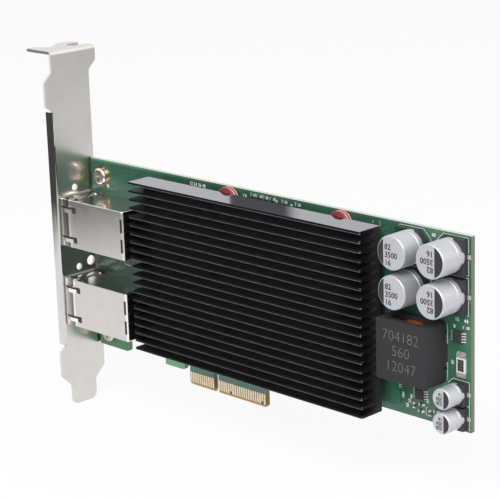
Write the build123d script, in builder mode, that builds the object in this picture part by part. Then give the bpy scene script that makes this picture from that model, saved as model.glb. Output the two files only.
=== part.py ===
from build123d import *

import os

os.makedirs("parts", exist_ok=True)

# A two-port network interface card, in millimetres. X runs from the bracket to the free end,
# Y from the component side (negative) to the solder side, and Z upwards. The origin is the
# middle of the key notch, in the board's mid-plane, at the lower edge of the edge connector.

# Printed circuit board
board_t = 1.57
board_top = 68.9
board_right = 102.45
board_foot = 12.0
board_gap = 0.9
left_foot_z = 4.5
left_foot_w = 14.5
tab_left = -23.75
tab_right = -14.55
tab_foot_z = 4.2
connector_root_z = 8.25
corner_r = 1.0

# Edge connector
contact_pitch = 1.0
contact_w = 0.7
contact_t = 0.05
contact_z0 = 0.95
contact_z1 = 4.35
short_contact_cut = 0.9
short_front_numbers = (17, 31)
short_back_numbers = (1,)
left_contacts = 11
right_contacts = 21
key_gap = 3.0
key_w = 1.9
key_depth = 8.0
tongue_margin = 0.65
bevel_h = 0.8
bevel_w = 0.4

# Bracket, one folded sheet
sheet = 0.9
bend_r = 0.3
bracket_x = -57.15
bracket_w = 18.42
bracket_length = 120.02
bracket_tip_z = -14.43
far_edge_over = 0.28
tip_step = 4.11
lobe_z = -3.43
tip_r = 2.4
neck_shift = 3.05
neck_near_drop = 9.49
neck_far_drop = 7.79
flange_depth = 2.6
flange_z0 = 7.2
flange_drop = 19.49
relief = 2.0
tab_depth = 12.7
tab_waist = 4.6
tab_waist_start = 3.2
tab_waist_middle = 6.7
tab_waist_end = 13.2
tab_corner_r = 2.5
notch_w = 4.42
notch_depth = 6.0
notch_x = 6.0
vent_d = 2.3
vent_rise = 2.3
large_vent_d = 3.3
large_vent_h = 1.6
large_vent_z = 33.9
ear_w = 9.0
ear_r = 2.0
ear_over = 4.0
ear_relief = 0.5

# Screws that hold the bracket's ears
screw_x = 6.2
screw_zs = (9.3, 63.4)
screw_d = 2.9
screw_clearance = 0.15
thread_gap = 0.04
head_d = 5.6
head_h = 1.6
head_r = 0.7
recess_w = 0.6
recess_l = 3.0
recess_depth = 0.8
screw_over = 0.5
pad_d = 6.7
ring_t = 0.05
plated_hole_d = 0.8
plated_ring_d = 1.3
plated_hole_rise = 0.9

# Shielded jacks, named upper and lower
jack_zs = {"upper": 49.7, "lower": 22.55}
jack_w = 16.0
jack_h = 13.5
jack_rear = 31.0
jack_proud = 0.4
jack_window_gap = 0.2
shield_t = 0.25
chin_l = 3.0
bow_x0 = 0.9
bow_x1 = 6.6
bow_rise = 0.4
bow_half = 6.0
slot_ys = (5.7, -4.3)
slot_reach = 8.0
slot_arm = 0.75
slot_leg = 2.0
slot_leg_w = 1.6
finger_l = 3.9
finger_w = 1.25
finger_t = 0.3
hook_slot_w = 1.0
hook_slot_l = 4.5
hook_slot_y = 3.3
hook_slot_edge = 0.4
shield_rear_r = 0.5
leg_x = 22.5
leg_w = 1.6
leg_over = 0.9
leg_slot_gap = 0.25
housing_inset = 0.3
housing_l = 15.5
cavity_w = 11.8
cavity_h0 = 4.1
cavity_h1 = 11.0
cavity_l = 14.0
mouth_chamfer = 0.35
channel_w = 6.2
channel_h0 = 2.3
light_w = 2.6
light_h = 1.5
light_h0 = 11.45
light_edge = 0.45
light_l = 12.0
peg_d = 3.0
peg_x = 10.0
peg_z = 5.2
peg_gap = 0.1
peg_over = 0.3
wire_count = 8
wire_pitch = 1.02
wire_w = 0.45
wire_t = 0.3
wire_front = 2.2
wire_tip_x = 9.0
wire_drop = 2.2
module_rise = 0.3
pin_d = 0.6
pin_hole_d = 0.9
pin_over = 1.2
pin_columns = 5
pin_pitch = 2.54
pin_rows_x = (18.5, 28.0)

# Finned heatsink with what lies under it
chip_size = 27.0
chip_h = 2.9
chip_lid = 1.7
chip_lid_inset = 3.0
chip_x = 27.0
chip_z = 40.0
pad_size = 20.0
pad_t = 0.5
sink_left = -24.15
sink_right = 72.65
sink_bottom = 12.35
fin_count = 21
fin_pitch = 2.725
fin_t = 0.85
fin_l = 6.7
fin_chamfer = 0.12
sink_base_t = 2.1
stud_d = 5.5
stud_edge_x = 6.0
stud_edge_z = 5.6
sink_screw_d = 2.4
sink_screw_depth = 1.6
sink_screw_head_d = 4.6
sink_screw_head_h = 1.3
sink_recess_l = 2.5
sink_recess_depth = 0.7

# Round chokes behind the heatsink's upper edge
choke_xs = (9.6, 55.8)
choke_top = 69.0
choke_r = 4.0
choke_flange_t = 0.3
choke_flange_inset = 0.25
turn_d = 0.6
turn_pitch = 0.54
turn_rows = 4
turn_layers = 3
turn_fit = 0.05

# Round capacitors: large and small
large_can_d = 10.0
large_can_h = 10.2
large_base_w = 10.3
large_cap_xs = (82.4, 96.15)
large_cap_zs = (51.45, 62.9)
small_can_d = 6.3
small_can_h = 7.7
small_base_w = 6.6
small_cap_x = 97.95
small_cap_zs = (15.95, 23.15)
foot_t = 0.2
base_floor = 1.0
base_corner = 0.9
base_notch = 0.33
base_cut = 0.29
base_fit = 0.15
crimp_depth = 0.3
crimp_w = 0.8
crimp_share = 0.215
can_r = 0.5
foot_w = 1.2
foot_over = 1.05
foot_share = 0.33

# Power inductor
coil_x = 84.5
coil_z = 33.95
core_w = 18.0
core_l = 18.1
core_h = 8.9
core_chamfer = 0.5
core_foot = 0.3
throat_w = 9.4
throat_h0 = 2.5
throat_h1 = 6.9
groove_w = 12.5
groove_depth = 1.3
coil_sink = 1.0
coil_r = 3.5
coil_gap = 0.1
coil_width = 1.9
coil_turns = 4
coil_groove = 0.15
post_gap = 0.1
terminal_w = 5.0
terminal_over = 0.9

# Small packages: (x, z, body along x, body along z, height), each with its leads along two sides
regulator = (84.4, 19.5, 3.0, 3.0, 1.1)
sense_chip = (98.05, 39.55, 2.9, 3.2, 1.0)
flash_chip = (40.0, 58.0, 3.9, 4.9, 1.6)
lead_count = 4
lead_t = 0.2
lead_w = 0.35
lead_bend_r = 0.12
lead_reach = 0.95
package_rise = 0.1
package_chamfer = 0.15

# Current-sense resistor
shunt_x = 99.25
shunt_z = 31.4
shunt_w = 3.0
shunt_l = 6.9
shunt_t = 0.6
shunt_end = 1.3
shunt_coat_edge = 0.45
shunt_coat_t = 0.08

# Chip parts: (x, z, True where it lies along X), on the component side
chip_l = 1.6
chip_w = 0.8
chip_t = 0.6
chip_end = 0.35
ceramic_spots = ((19.4, 67.75, True), (24.6, 67.75, True), (32.5, 67.6, True), (37.9, 67.6, True),
                 (100.85, 42.65, True), (88.0, 14.5, False), (82.2, 15.6, False), (90.3, 15.5, True))
resistor_spots = ((22.0, 67.75, True), (27.6, 67.75, True), (84.9, 16.4, True), (84.7, 14.4, True))
# Decoupling parts behind the controller, on the solder side
back_pitch = 3.4
back_columns = 4
back_rows = 4

# Values that follow from the sizes above
component_y = -board_t / 2
solder_y = board_t / 2
board_left = bracket_x + board_gap
tongue_left = -key_gap / 2 - (left_contacts - 1) * contact_pitch - tongue_margin
tongue_right = key_gap / 2 + (right_contacts - 1) * contact_pitch + tongue_margin
left_foot_right = board_left + left_foot_w
bracket_far_y = solder_y + far_edge_over
bracket_near_y = bracket_far_y - bracket_w
bracket_top_z = bracket_tip_z + bracket_length
neck_near_z = bracket_top_z - neck_near_drop
neck_far_z = bracket_top_z - neck_far_drop
flange_z1 = bracket_top_z - flange_drop
fold_y = component_y - jack_h - jack_window_gap
jack_front_x = bracket_x - sheet - jack_proud
jack_rear_x = bracket_x + jack_rear
screw_board_x = bracket_x + screw_x
ear_hole_d = screw_d + 2 * thread_gap
screw_hole_d = screw_d + 2 * screw_clearance
sink_gap = chip_h + pad_t
sink_h = sink_base_t + fin_l
sink_top = sink_bottom + (fin_count - 1) * fin_pitch + fin_t
leg_centre_x = bracket_x + leg_x
leg_slot_w = leg_w + 2 * leg_slot_gap
leg_slot_t = shield_t + 2 * leg_slot_gap
plated_hole_spots = [(screw_board_x, z + jack_w / 2 + plated_hole_rise) for z in jack_zs.values()]


def above(h):
    """Plane parallel to the board, h over its component side, facing away from it."""
    return Plane.XZ.offset(board_t / 2 + h)


def behind(h):
    """Plane parallel to the board, h behind its solder side, facing the component side."""
    return Plane.XZ.offset(-board_t / 2 - h)


def height_y(h):
    """Y of a point h over the component side."""
    return component_y - h


def save(part, label):
    """Label a finished piece and write it."""
    part.label = label
    export_step(part, f"parts/{label}.step")


def contact_xs():
    """X of each contact of the edge connector, from the bracket's end."""
    left = [-key_gap / 2 - i * contact_pitch for i in reversed(range(left_contacts))]
    return left + [key_gap / 2 + i * contact_pitch for i in range(right_contacts)]


def stud_spots():
    """X and Z of the four studs under the heatsink."""
    xs = (sink_left + stud_edge_x, sink_right - stud_edge_x)
    zs = (sink_bottom + stud_edge_z, sink_top - stud_edge_z)
    return [(x, z) for x in xs for z in zs]


def pin_spots(jack_z):
    """X and Z of the solder pins of one jack."""
    zs = [jack_z + (i - (pin_columns - 1) / 2) * pin_pitch for i in range(pin_columns)]
    return [(bracket_x + x, z) for x in pin_rows_x for z in zs]


def peg_spots(jack_z):
    """X and Z of the two locating pegs of one jack."""
    return [(bracket_x + peg_x, jack_z - peg_z), (bracket_x + peg_x, jack_z + peg_z)]


def leg_spots(jack_z):
    """X and Z of the two shield legs of one jack."""
    reach = (jack_w - shield_t) / 2
    return [(leg_centre_x, jack_z - reach), (leg_centre_x, jack_z + reach)]


# Printed circuit board with its tongue, key notch and drilled holes
board_outline = [
    (board_left, board_top), (board_left, left_foot_z), (left_foot_right, left_foot_z),
    (left_foot_right, board_foot), (tab_left, board_foot), (tab_left, tab_foot_z),
    (tab_right, tab_foot_z), (tab_right, connector_root_z), (tongue_left, connector_root_z),
    (tongue_left, 0), (tongue_right, 0), (tongue_right, board_foot),
    (board_right, board_foot), (board_right, board_top),
]
rounded = {(left_foot_right, left_foot_z), (tab_right, tab_foot_z), (tongue_left, 0), (tongue_right, 0)}
with BuildPart() as board:
    with BuildSketch(behind(0)):
        with BuildLine():
            FilletPolyline(*board_outline, radius=[corner_r if p in rounded else 0 for p in board_outline],
                           close=True)
        make_face()
        with Locations((0, 0)):
            SlotOverall(2 * key_depth, key_w, rotation=90, mode=Mode.SUBTRACT)
        with Locations([(screw_board_x, z) for z in screw_zs]):
            Circle(screw_hole_d / 2, mode=Mode.SUBTRACT)
        with Locations(stud_spots()):
            Circle(sink_screw_d / 2 + screw_clearance, mode=Mode.SUBTRACT)
        with Locations(plated_hole_spots):
            Circle(plated_hole_d / 2, mode=Mode.SUBTRACT)
        for jack_z in jack_zs.values():
            with Locations(pin_spots(jack_z)):
                Circle(pin_hole_d / 2, mode=Mode.SUBTRACT)
            with Locations(peg_spots(jack_z)):
                Circle(peg_d / 2 + peg_gap, mode=Mode.SUBTRACT)
            with Locations(leg_spots(jack_z)):
                Rectangle(leg_slot_w, leg_slot_t, mode=Mode.SUBTRACT)
    extrude(amount=board_t)
    # Bevel that leads the tongue into its socket
    with BuildSketch(Plane.YZ.offset(tongue_left)):
        for side in (-1, 1):
            with BuildLine():
                Polyline((side * solder_y, bevel_h), (side * solder_y, 0),
                         (side * (solder_y - bevel_w), 0), close=True)
            make_face()
    extrude(amount=tongue_right - tongue_left, mode=Mode.SUBTRACT)
save(board.part, "board")


def edge_contacts(label, plane, short_ones):
    """One face of the edge connector: a flat strip for each contact, some of them cut short."""
    with BuildPart() as contacts:
        with BuildSketch(plane):
            for number, x in enumerate(contact_xs(), start=1):
                foot = contact_z0 + (short_contact_cut if number in short_ones else 0)
                with Locations((x, (foot + contact_z1) / 2)):
                    Rectangle(contact_w, contact_z1 - foot)
        extrude(amount=contact_t)
    save(contacts.part, label)


edge_contacts("edge_contacts_front", above(0), short_front_numbers)
edge_contacts("edge_contacts_back", behind(contact_t), short_back_numbers)


def bend_section(plane, centre, start):
    """Section of a quarter bend of the sheet about a centre, from a start angle."""
    with BuildSketch(plane) as section:
        with BuildLine():
            outer = CenterArc(centre, bend_r + sheet, start, 90)
            inner = CenterArc(centre, bend_r, start, 90)
            Line(outer @ 0, inner @ 0)
            Line(outer @ 1, inner @ 1)
        make_face()
    return section.sketch


# Bracket: a plate with a screw tab folded outwards, a stiffening flange and two board ears
neck_near_y = bracket_near_y + neck_shift
neck_far_y = bracket_far_y + neck_shift
tab_bend_z = bracket_top_z - sheet - bend_r
tab_bend_x = bracket_x - sheet - bend_r
tab_outer_x = bracket_x - tab_depth
ear_bend_x = bracket_x + bend_r
ear_bend_y = solder_y - bend_r
ear_end_x = screw_board_x + ear_over
near_side = [
    (neck_near_y, tab_bend_z), (neck_near_y, neck_near_z + neck_shift), (bracket_near_y, neck_near_z),
    (bracket_near_y, flange_z1 + relief), (fold_y, flange_z1), (fold_y, flange_z0),
    (bracket_near_y, flange_z0 - relief), (bracket_near_y, lobe_z),
    (bracket_near_y + tip_step, lobe_z - tip_step), (bracket_near_y + tip_step, bracket_tip_z),
]
far_side = [
    (bracket_far_y - tip_step, bracket_tip_z), (bracket_far_y - tip_step, lobe_z - tip_step),
    (bracket_far_y, lobe_z), (bracket_far_y, neck_far_z), (neck_far_y, neck_far_z + neck_shift),
    (neck_far_y, tab_bend_z),
]
plate_radii = [0, corner_r, corner_r, 0, 0, 0, 0, corner_r, corner_r, tip_r,
               tip_r, corner_r, corner_r, corner_r, corner_r, 0]
notch_y = neck_far_y - notch_depth + notch_w / 2
notch_centre_x = bracket_x - notch_x
tab_outline = [
    (tab_bend_x, neck_near_y), (tab_outer_x, neck_near_y),
    (tab_outer_x, neck_near_y + tab_waist_start),
    (tab_outer_x + tab_waist, neck_near_y + tab_waist_middle),
    (tab_outer_x, neck_near_y + tab_waist_end),
    (tab_outer_x, neck_far_y), (tab_bend_x, neck_far_y),
]
tab_radii = [0, corner_r, corner_r, corner_r, corner_r, tab_corner_r, 0]
with BuildPart() as bracket:
    with BuildSketch(Plane.YZ.offset(bracket_x - sheet)):
        with BuildLine():
            FilletPolyline(*near_side, *far_side, radius=plate_radii, close=True)
        make_face()
        for jack_z in jack_zs.values():
            with Locations((fold_y, jack_z)):
                Rectangle(jack_h + 2 * jack_window_gap, jack_w + 2 * jack_window_gap,
                          align=(Align.MIN, Align.CENTER), mode=Mode.SUBTRACT)
            with Locations((height_y(jack_h / 2), jack_z + jack_w / 2 + vent_rise)):
                Circle(vent_d / 2, mode=Mode.SUBTRACT)
        with Locations((height_y(large_vent_h), large_vent_z)):
            Circle(large_vent_d / 2, mode=Mode.SUBTRACT)
        with Locations([(ear_bend_y, z) for z in screw_zs]):
            Rectangle(bracket_far_y - ear_bend_y, ear_w + 2 * ear_relief, align=(Align.MIN, Align.CENTER),
                      mode=Mode.SUBTRACT)
    extrude(amount=sheet)
    tab_bend = bend_section(Plane.XZ.offset(-neck_far_y), (tab_bend_x, tab_bend_z), 0)
    extrude(tab_bend, amount=neck_far_y - neck_near_y)
    with BuildSketch(Plane.XY.offset(bracket_top_z - sheet)):
        with BuildLine():
            FilletPolyline(*tab_outline, radius=tab_radii, close=True)
        make_face()
        with Locations((notch_centre_x, notch_y)):
            Circle(notch_w / 2, mode=Mode.SUBTRACT)
            Rectangle(notch_w, neck_far_y - notch_y, align=(Align.CENTER, Align.MIN), mode=Mode.SUBTRACT)
    extrude(amount=sheet)
    flange_bend = bend_section(Plane.XY.offset(flange_z0), (bracket_x - sheet - bend_r, fold_y), 270)
    extrude(flange_bend, amount=flange_z1 - flange_z0)
    with BuildSketch(Plane.XY.offset(flange_z0)):
        with Locations((bracket_x - flange_depth, fold_y - bend_r - sheet)):
            Rectangle(flange_depth - sheet - bend_r, sheet, align=(Align.MIN, Align.MIN))
    extrude(amount=flange_z1 - flange_z0)
    for screw_z in screw_zs:
        ear_bend = bend_section(Plane.XY.offset(screw_z - ear_w / 2), (ear_bend_x, ear_bend_y), 90)
        extrude(ear_bend, amount=ear_w)
        with BuildSketch(behind(0)):
            with Locations((ear_bend_x, screw_z)):
                ear = Rectangle(ear_end_x - ear_bend_x, ear_w, align=(Align.MIN, Align.CENTER))
            fillet(ear.vertices().group_by(Axis.X)[-1], ear_r)
            with Locations((screw_board_x, screw_z)):
                Circle(ear_hole_d / 2, mode=Mode.SUBTRACT)
        extrude(amount=-sheet)
save(bracket.part, "bracket")

# Gold rings round the screw holes, and smaller ones round the plated holes beside the jacks
with BuildPart() as plated_rings:
    with BuildSketch(above(0)):
        with Locations([(screw_board_x, z) for z in screw_zs]):
            Circle(pad_d / 2)
            Circle(screw_hole_d / 2, mode=Mode.SUBTRACT)
        with Locations(plated_hole_spots):
            Circle(plated_ring_d / 2)
            Circle(plated_hole_d / 2, mode=Mode.SUBTRACT)
    extrude(amount=ring_t)
save(plated_rings.part, "plated_rings")

# Pan-head screws through the board into the bracket's ears
with BuildPart() as bracket_screws:
    for screw_z in screw_zs:
        with BuildSketch(above(ring_t)):
            with Locations((screw_board_x, screw_z)):
                Circle(head_d / 2)
        head = extrude(amount=head_h)
        fillet(head.edges().group_by(Axis.Y)[0], head_r)
        with BuildSketch(above(ring_t)):
            with Locations((screw_board_x, screw_z)):
                Circle(screw_d / 2)
        extrude(amount=-(ring_t + board_t + sheet + screw_over))
        with BuildSketch(above(ring_t + head_h)):
            with Locations((screw_board_x, screw_z)):
                Rectangle(recess_l, recess_w)
                Rectangle(recess_w, recess_l)
        extrude(amount=-recess_depth, mode=Mode.SUBTRACT)
save(bracket_screws.part, "bracket_screws")


def wall_planes(jack_z):
    """Planes on the three outer walls of a jack, with X along it and the normal outwards."""
    near = Plane((bracket_x, height_y(jack_h), jack_z), x_dir=(1, 0, 0), z_dir=(0, -1, 0))
    over = Plane((bracket_x, height_y(jack_h / 2), jack_z + jack_w / 2), x_dir=(1, 0, 0), z_dir=(0, 0, 1))
    under = Plane((bracket_x, height_y(jack_h / 2), jack_z - jack_w / 2), x_dir=(1, 0, 0), z_dir=(0, 0, -1))
    return near, over, under


def bow_section(wall):
    """Section of the bowed band that presses on the bracket's window, at the band's lower end."""
    middle = (bow_x0 + bow_x1) / 2
    start = Plane(wall.from_local_coords((0, -bow_half, 0)), x_dir=wall.x_dir, z_dir=wall.y_dir)
    with BuildSketch(start) as section:
        with BuildLine():
            crest = ThreePointArc((bow_x0, 0), (middle, -bow_rise), (bow_x1, 0))
            hollow = ThreePointArc((bow_x0, shield_t), (middle, shield_t - bow_rise), (bow_x1, shield_t))
            Line(crest @ 0, hollow @ 0)
            Line(crest @ 1, hollow @ 1)
        make_face()
    return section.sketch


def wall_cuts(wall):
    """Outline of the L-shaped slots round the spring fingers and of the slots at the rear edge."""
    with BuildSketch(wall.offset(2 * bow_rise)) as cuts:
        for slot_y in slot_ys:
            with Locations((slot_reach, slot_y)):
                Rectangle(slot_reach - bow_x0, slot_arm, align=(Align.MAX, Align.MAX))
                Rectangle(slot_leg_w, slot_leg, align=(Align.MAX, Align.MAX))
        with Locations([(jack_rear - hook_slot_edge, side * hook_slot_y) for side in (-1, 1)]):
            Rectangle(hook_slot_w, hook_slot_l, align=(Align.MAX, Align.CENTER))
    return cuts.sketch


def finger_outline(wall):
    """Outline of the flat fingers that stand in the crooks of the L-shaped slots."""
    with BuildSketch(wall.offset(-shield_t)) as fingers:
        with Locations([(slot_reach - slot_leg_w, slot_y - slot_arm) for slot_y in slot_ys]):
            Rectangle(finger_l, finger_w, align=(Align.MAX, Align.MAX))
    return fingers.sketch


def jack_shield(side, jack_z):
    """Stamped metal shield of one jack: a tub open at the mouth and on the board's side."""
    with BuildPart() as shield:
        with BuildSketch(above(0)):
            with Locations((jack_front_x, jack_z)):
                Rectangle(jack_rear_x - jack_front_x, jack_w, align=(Align.MIN, Align.CENTER))
        tub = extrude(amount=jack_h)
        fillet(tub.edges().filter_by(Axis.X).group_by(Axis.Y)[0], shield_t)
        rear_edges = shield.edges().filter_by(Axis.Z).group_by(Axis.X)[-1]
        fillet(rear_edges.sort_by(Axis.Y)[0], shield_rear_r)
        with BuildSketch(above(0)):
            with Locations((jack_front_x, jack_z)):
                Rectangle(jack_rear_x - jack_front_x - shield_t, jack_w - 2 * shield_t,
                          align=(Align.MIN, Align.CENTER))
        extrude(amount=jack_h - shield_t, mode=Mode.SUBTRACT)
        with BuildSketch(above(0)):
            with Locations((jack_front_x, jack_z)):
                Rectangle(chin_l, jack_w - shield_t, align=(Align.MIN, Align.CENTER))
        extrude(amount=shield_t)
        for wall in wall_planes(jack_z):
            with BuildSketch(wall):
                with Locations((bow_x0, 0)):
                    Rectangle(bow_x1 - bow_x0, 2 * bow_half, align=(Align.MIN, Align.CENTER))
            extrude(amount=-shield_t, mode=Mode.SUBTRACT)
            extrude(bow_section(wall), amount=2 * bow_half)
            extrude(wall_cuts(wall), amount=-2 * bow_rise - shield_t, mode=Mode.SUBTRACT)
            extrude(finger_outline(wall), amount=shield_t + finger_t)
        with BuildSketch(above(0)):
            with Locations(leg_spots(jack_z)):
                Rectangle(leg_w, shield_t)
        extrude(amount=-board_t - leg_over)
    save(shield.part, f"jack_{side}_shield")


def light_spots(jack_z):
    """Y and Z of the two light pipes at the corners of a jack's mouth."""
    reach = jack_w / 2 - shield_t - light_edge - light_w / 2
    y = height_y(light_h0 + light_h / 2)
    return [(y, jack_z - reach), (y, jack_z + reach)]


housing_front_x = jack_front_x + housing_inset
housing_back_x = bracket_x + housing_l
cavity_back_x = housing_front_x + cavity_l


def jack_housing(side, jack_z):
    """Moulded housing of one jack, with the plug cavity, the latch channel and two pegs."""
    with BuildPart() as housing:
        with BuildSketch(above(0)):
            with Locations((housing_front_x, jack_z)):
                Rectangle(housing_back_x - housing_front_x, jack_w - 2 * shield_t,
                          align=(Align.MIN, Align.CENTER))
        extrude(amount=jack_h - shield_t)
        with BuildSketch(above(0)):
            with Locations((jack_front_x, jack_z)):
                Rectangle(chin_l, jack_w, align=(Align.MIN, Align.CENTER))
        extrude(amount=shield_t, mode=Mode.SUBTRACT)
        with BuildSketch(Plane.YZ.offset(housing_front_x)):
            with Locations((height_y((cavity_h0 + cavity_h1) / 2), jack_z)):
                Rectangle(cavity_h1 - cavity_h0, cavity_w)
            with Locations((height_y(cavity_h0), jack_z)):
                Rectangle(cavity_h0 - channel_h0, channel_w, align=(Align.MIN, Align.CENTER))
        extrude(amount=cavity_l, mode=Mode.SUBTRACT)
        mouth = housing.faces().sort_by(Axis.X)[0].inner_wires()[0]
        chamfer(mouth.edges(), mouth_chamfer)
        with BuildSketch(Plane.YZ.offset(housing_front_x)):
            with Locations(light_spots(jack_z)):
                Rectangle(light_h, light_w)
        extrude(amount=light_l, mode=Mode.SUBTRACT)
        with BuildSketch(above(0)):
            with Locations(peg_spots(jack_z)):
                Circle(peg_d / 2)
        extrude(amount=-board_t - peg_over)
    save(housing.part, f"jack_{side}_housing")


def jack_light_pipes(side, jack_z):
    """The two clear light pipes of one jack."""
    with BuildPart() as light_pipes:
        with BuildSketch(Plane.YZ.offset(housing_front_x)):
            with Locations(light_spots(jack_z)):
                Rectangle(light_h, light_w)
        extrude(amount=light_l)
    save(light_pipes.part, f"jack_{side}_light_pipes")


def jack_contacts(side, jack_z):
    """Eight spring wires along the ceiling of the plug cavity, folded back into it."""
    ceiling = height_y(cavity_h1 - wire_t / 2)
    with BuildPart() as contacts:
        for i in range(wire_count):
            wire_z = jack_z + (i - (wire_count - 1) / 2) * wire_pitch
            with BuildSketch(Plane.XY.offset(wire_z - wire_w / 2)):
                with BuildLine():
                    FilletPolyline((cavity_back_x, ceiling), (bracket_x + wire_front, ceiling),
                                   (bracket_x + wire_tip_x, height_y(cavity_h1 - wire_drop)), radius=wire_t)
                trace(line_width=wire_t)
            extrude(amount=wire_w)
    save(contacts.part, f"jack_{side}_contacts")


def jack_magnetics(side, jack_z):
    """Closed block of magnetics that fills the rear of one jack."""
    with BuildPart() as magnetics:
        with BuildSketch(above(module_rise)):
            with Locations((housing_back_x, jack_z)):
                Rectangle(jack_rear_x - shield_t - housing_back_x, jack_w - 2 * shield_t,
                          align=(Align.MIN, Align.CENTER))
        extrude(amount=jack_h - shield_t - module_rise)
    save(magnetics.part, f"jack_{side}_magnetics")


for side, jack_z in jack_zs.items():
    jack_shield(side, jack_z)
    jack_housing(side, jack_z)
    jack_light_pipes(side, jack_z)
    jack_contacts(side, jack_z)
    jack_magnetics(side, jack_z)

# Solder pins of both jacks
with BuildPart() as jack_pins:
    with BuildSketch(above(module_rise)):
        for jack_z in jack_zs.values():
            with Locations(pin_spots(jack_z)):
                Circle(pin_d / 2)
    extrude(amount=-module_rise - board_t - pin_over)
save(jack_pins.part, "jack_pins")

# Heatsink: an extrusion whose grooves end in full rounds
sink_back_y = height_y(sink_gap)
fin_tip_y = sink_back_y - sink_h
fin_gap = fin_pitch - fin_t
with BuildPart() as heatsink:
    with BuildSketch(Plane.YZ.offset(sink_left)) as comb:
        with Locations((fin_tip_y, sink_bottom)):
            Rectangle(sink_h, sink_top - sink_bottom, align=(Align.MIN, Align.MIN))
        with Locations([(fin_tip_y, sink_bottom + (i + 1) * fin_pitch - fin_gap / 2)
                        for i in range(fin_count - 1)]):
            SlotOverall(2 * fin_l, fin_gap, mode=Mode.SUBTRACT)
        chamfer(comb.vertices().group_by(Axis.X)[0], fin_chamfer)
    extrude(amount=sink_right - sink_left)
save(heatsink.part, "heatsink")

# Studs between the heatsink and the board, and the screws that enter them from the solder side
with BuildPart() as heatsink_studs:
    with BuildSketch(above(0)):
        with Locations(stud_spots()):
            Circle(stud_d / 2)
            Circle(sink_screw_d / 2 + thread_gap, mode=Mode.SUBTRACT)
    extrude(amount=sink_gap)
save(heatsink_studs.part, "heatsink_studs")

with BuildPart() as heatsink_screws:
    with BuildSketch(behind(sink_screw_head_h)):
        with Locations(stud_spots()):
            Circle(sink_screw_head_d / 2)
    heads = extrude(amount=sink_screw_head_h)
    fillet(heads.edges().group_by(Axis.Y)[-1], head_r)
    with BuildSketch(behind(0)):
        with Locations(stud_spots()):
            Circle(sink_screw_d / 2)
    extrude(amount=board_t + sink_screw_depth)
    with BuildSketch(behind(sink_screw_head_h)):
        with Locations(stud_spots()):
            Rectangle(sink_recess_l, recess_w)
            Rectangle(recess_w, sink_recess_l)
    extrude(amount=sink_recess_depth, mode=Mode.SUBTRACT)
save(heatsink_screws.part, "heatsink_screws")

# Network controller under the heatsink, with its metal lid moulded on, and its thermal pad
with BuildPart() as controller_chip:
    with BuildSketch(above(0)):
        with Locations((chip_x, chip_z)):
            Rectangle(chip_size, chip_size)
    extrude(amount=chip_h - chip_lid)
    with BuildSketch(above(chip_h - chip_lid)):
        with Locations((chip_x, chip_z)):
            Rectangle(chip_size - 2 * chip_lid_inset, chip_size - 2 * chip_lid_inset)
    extrude(amount=chip_lid)
save(controller_chip.part, "controller_chip")

with BuildPart() as thermal_pad:
    with BuildSketch(above(chip_h)):
        with Locations((chip_x, chip_z)):
            Rectangle(pad_size, pad_size)
    extrude(amount=pad_t)
save(thermal_pad.part, "thermal_pad")


def round_choke(number, x):
    """One choke that stands on the board: a drum core and the layers of wire wound round its post."""
    centre_z = choke_top - choke_r
    outer_turn = choke_r - turn_d / 2
    inner_turn = outer_turn - (turn_layers - 1) * turn_pitch
    first_row = choke_flange_t + turn_d / 2
    last_row = first_row + (turn_rows - 1) * turn_pitch
    with BuildPart() as core:
        with BuildSketch(above(0)):
            with Locations((x, centre_z)):
                Circle(choke_r - choke_flange_inset)
        extrude(amount=choke_flange_t)
        with BuildSketch(above(choke_flange_t)):
            with Locations((x, centre_z)):
                Circle(inner_turn - turn_d / 2 - turn_fit)
        extrude(amount=last_row + turn_d / 2 - choke_flange_t)
    save(core.part, f"choke_{number}_core")
    turns = [(outer_turn - layer * turn_pitch, first_row + row * turn_pitch)
             for layer in range(turn_layers) for row in range(turn_rows)]
    with BuildPart() as winding:
        with BuildSketch(Plane((x, component_y, centre_z), x_dir=(1, 0, 0), z_dir=(0, 0, -1))):
            with Locations(((inner_turn + outer_turn) / 2, (first_row + last_row) / 2)):
                Rectangle(outer_turn - inner_turn, last_row - first_row)
            with Locations(turns):
                Circle(turn_d / 2)
        revolve(axis=Axis((x, component_y, centre_z), (0, -1, 0)))
    save(winding.part, f"choke_{number}_winding")


for number, x in enumerate(choke_xs, start=1):
    round_choke(number, x)


def capacitor(label, x, z, can_d, can_h, base_w, chamfered):
    """One can and its base; chamfered is the side, -1 or 1 along X, of the base's cut corners."""
    axis_plane = Plane((x, component_y, z), x_dir=(1, 0, 0), z_dir=(0, 0, -1))
    floor = foot_t + base_floor
    groove0 = floor + crimp_share * can_d
    with BuildPart() as can:
        with BuildSketch(axis_plane):
            with BuildLine():
                Line((0, floor), (can_d / 2, floor))
                Line((can_d / 2, floor), (can_d / 2, groove0))
                ThreePointArc((can_d / 2, groove0), (can_d / 2 - crimp_depth, groove0 + crimp_w / 2),
                              (can_d / 2, groove0 + crimp_w))
                Line((can_d / 2, groove0 + crimp_w), (can_d / 2, can_h - can_r))
                RadiusArc((can_d / 2, can_h - can_r), (can_d / 2 - can_r, can_h), -can_r)
                Line((can_d / 2 - can_r, can_h), (0, can_h))
                Line((0, can_h), (0, floor))
            make_face()
        revolve(axis=Axis((x, component_y, z), (0, -1, 0)))
    save(can.part, f"{label}_can")
    with BuildPart() as base:
        with BuildSketch(above(foot_t)):
            with Locations((x, z)):
                outline = Rectangle(base_w, base_w)
            cut_corners = outline.vertices().group_by(Axis.X)[-1 if chamfered > 0 else 0]
            chamfer(cut_corners, base_cut * base_w)
        extrude(amount=base_floor + base_corner)
        with BuildSketch(above(floor)):
            with Locations((x, z)):
                Circle(can_d / 2 + base_fit)
                Rectangle(base_w, base_notch * base_w)
                Rectangle(base_notch * base_w, base_w)
        extrude(amount=base_corner, mode=Mode.SUBTRACT)
    save(base.part, f"{label}_base")


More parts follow.
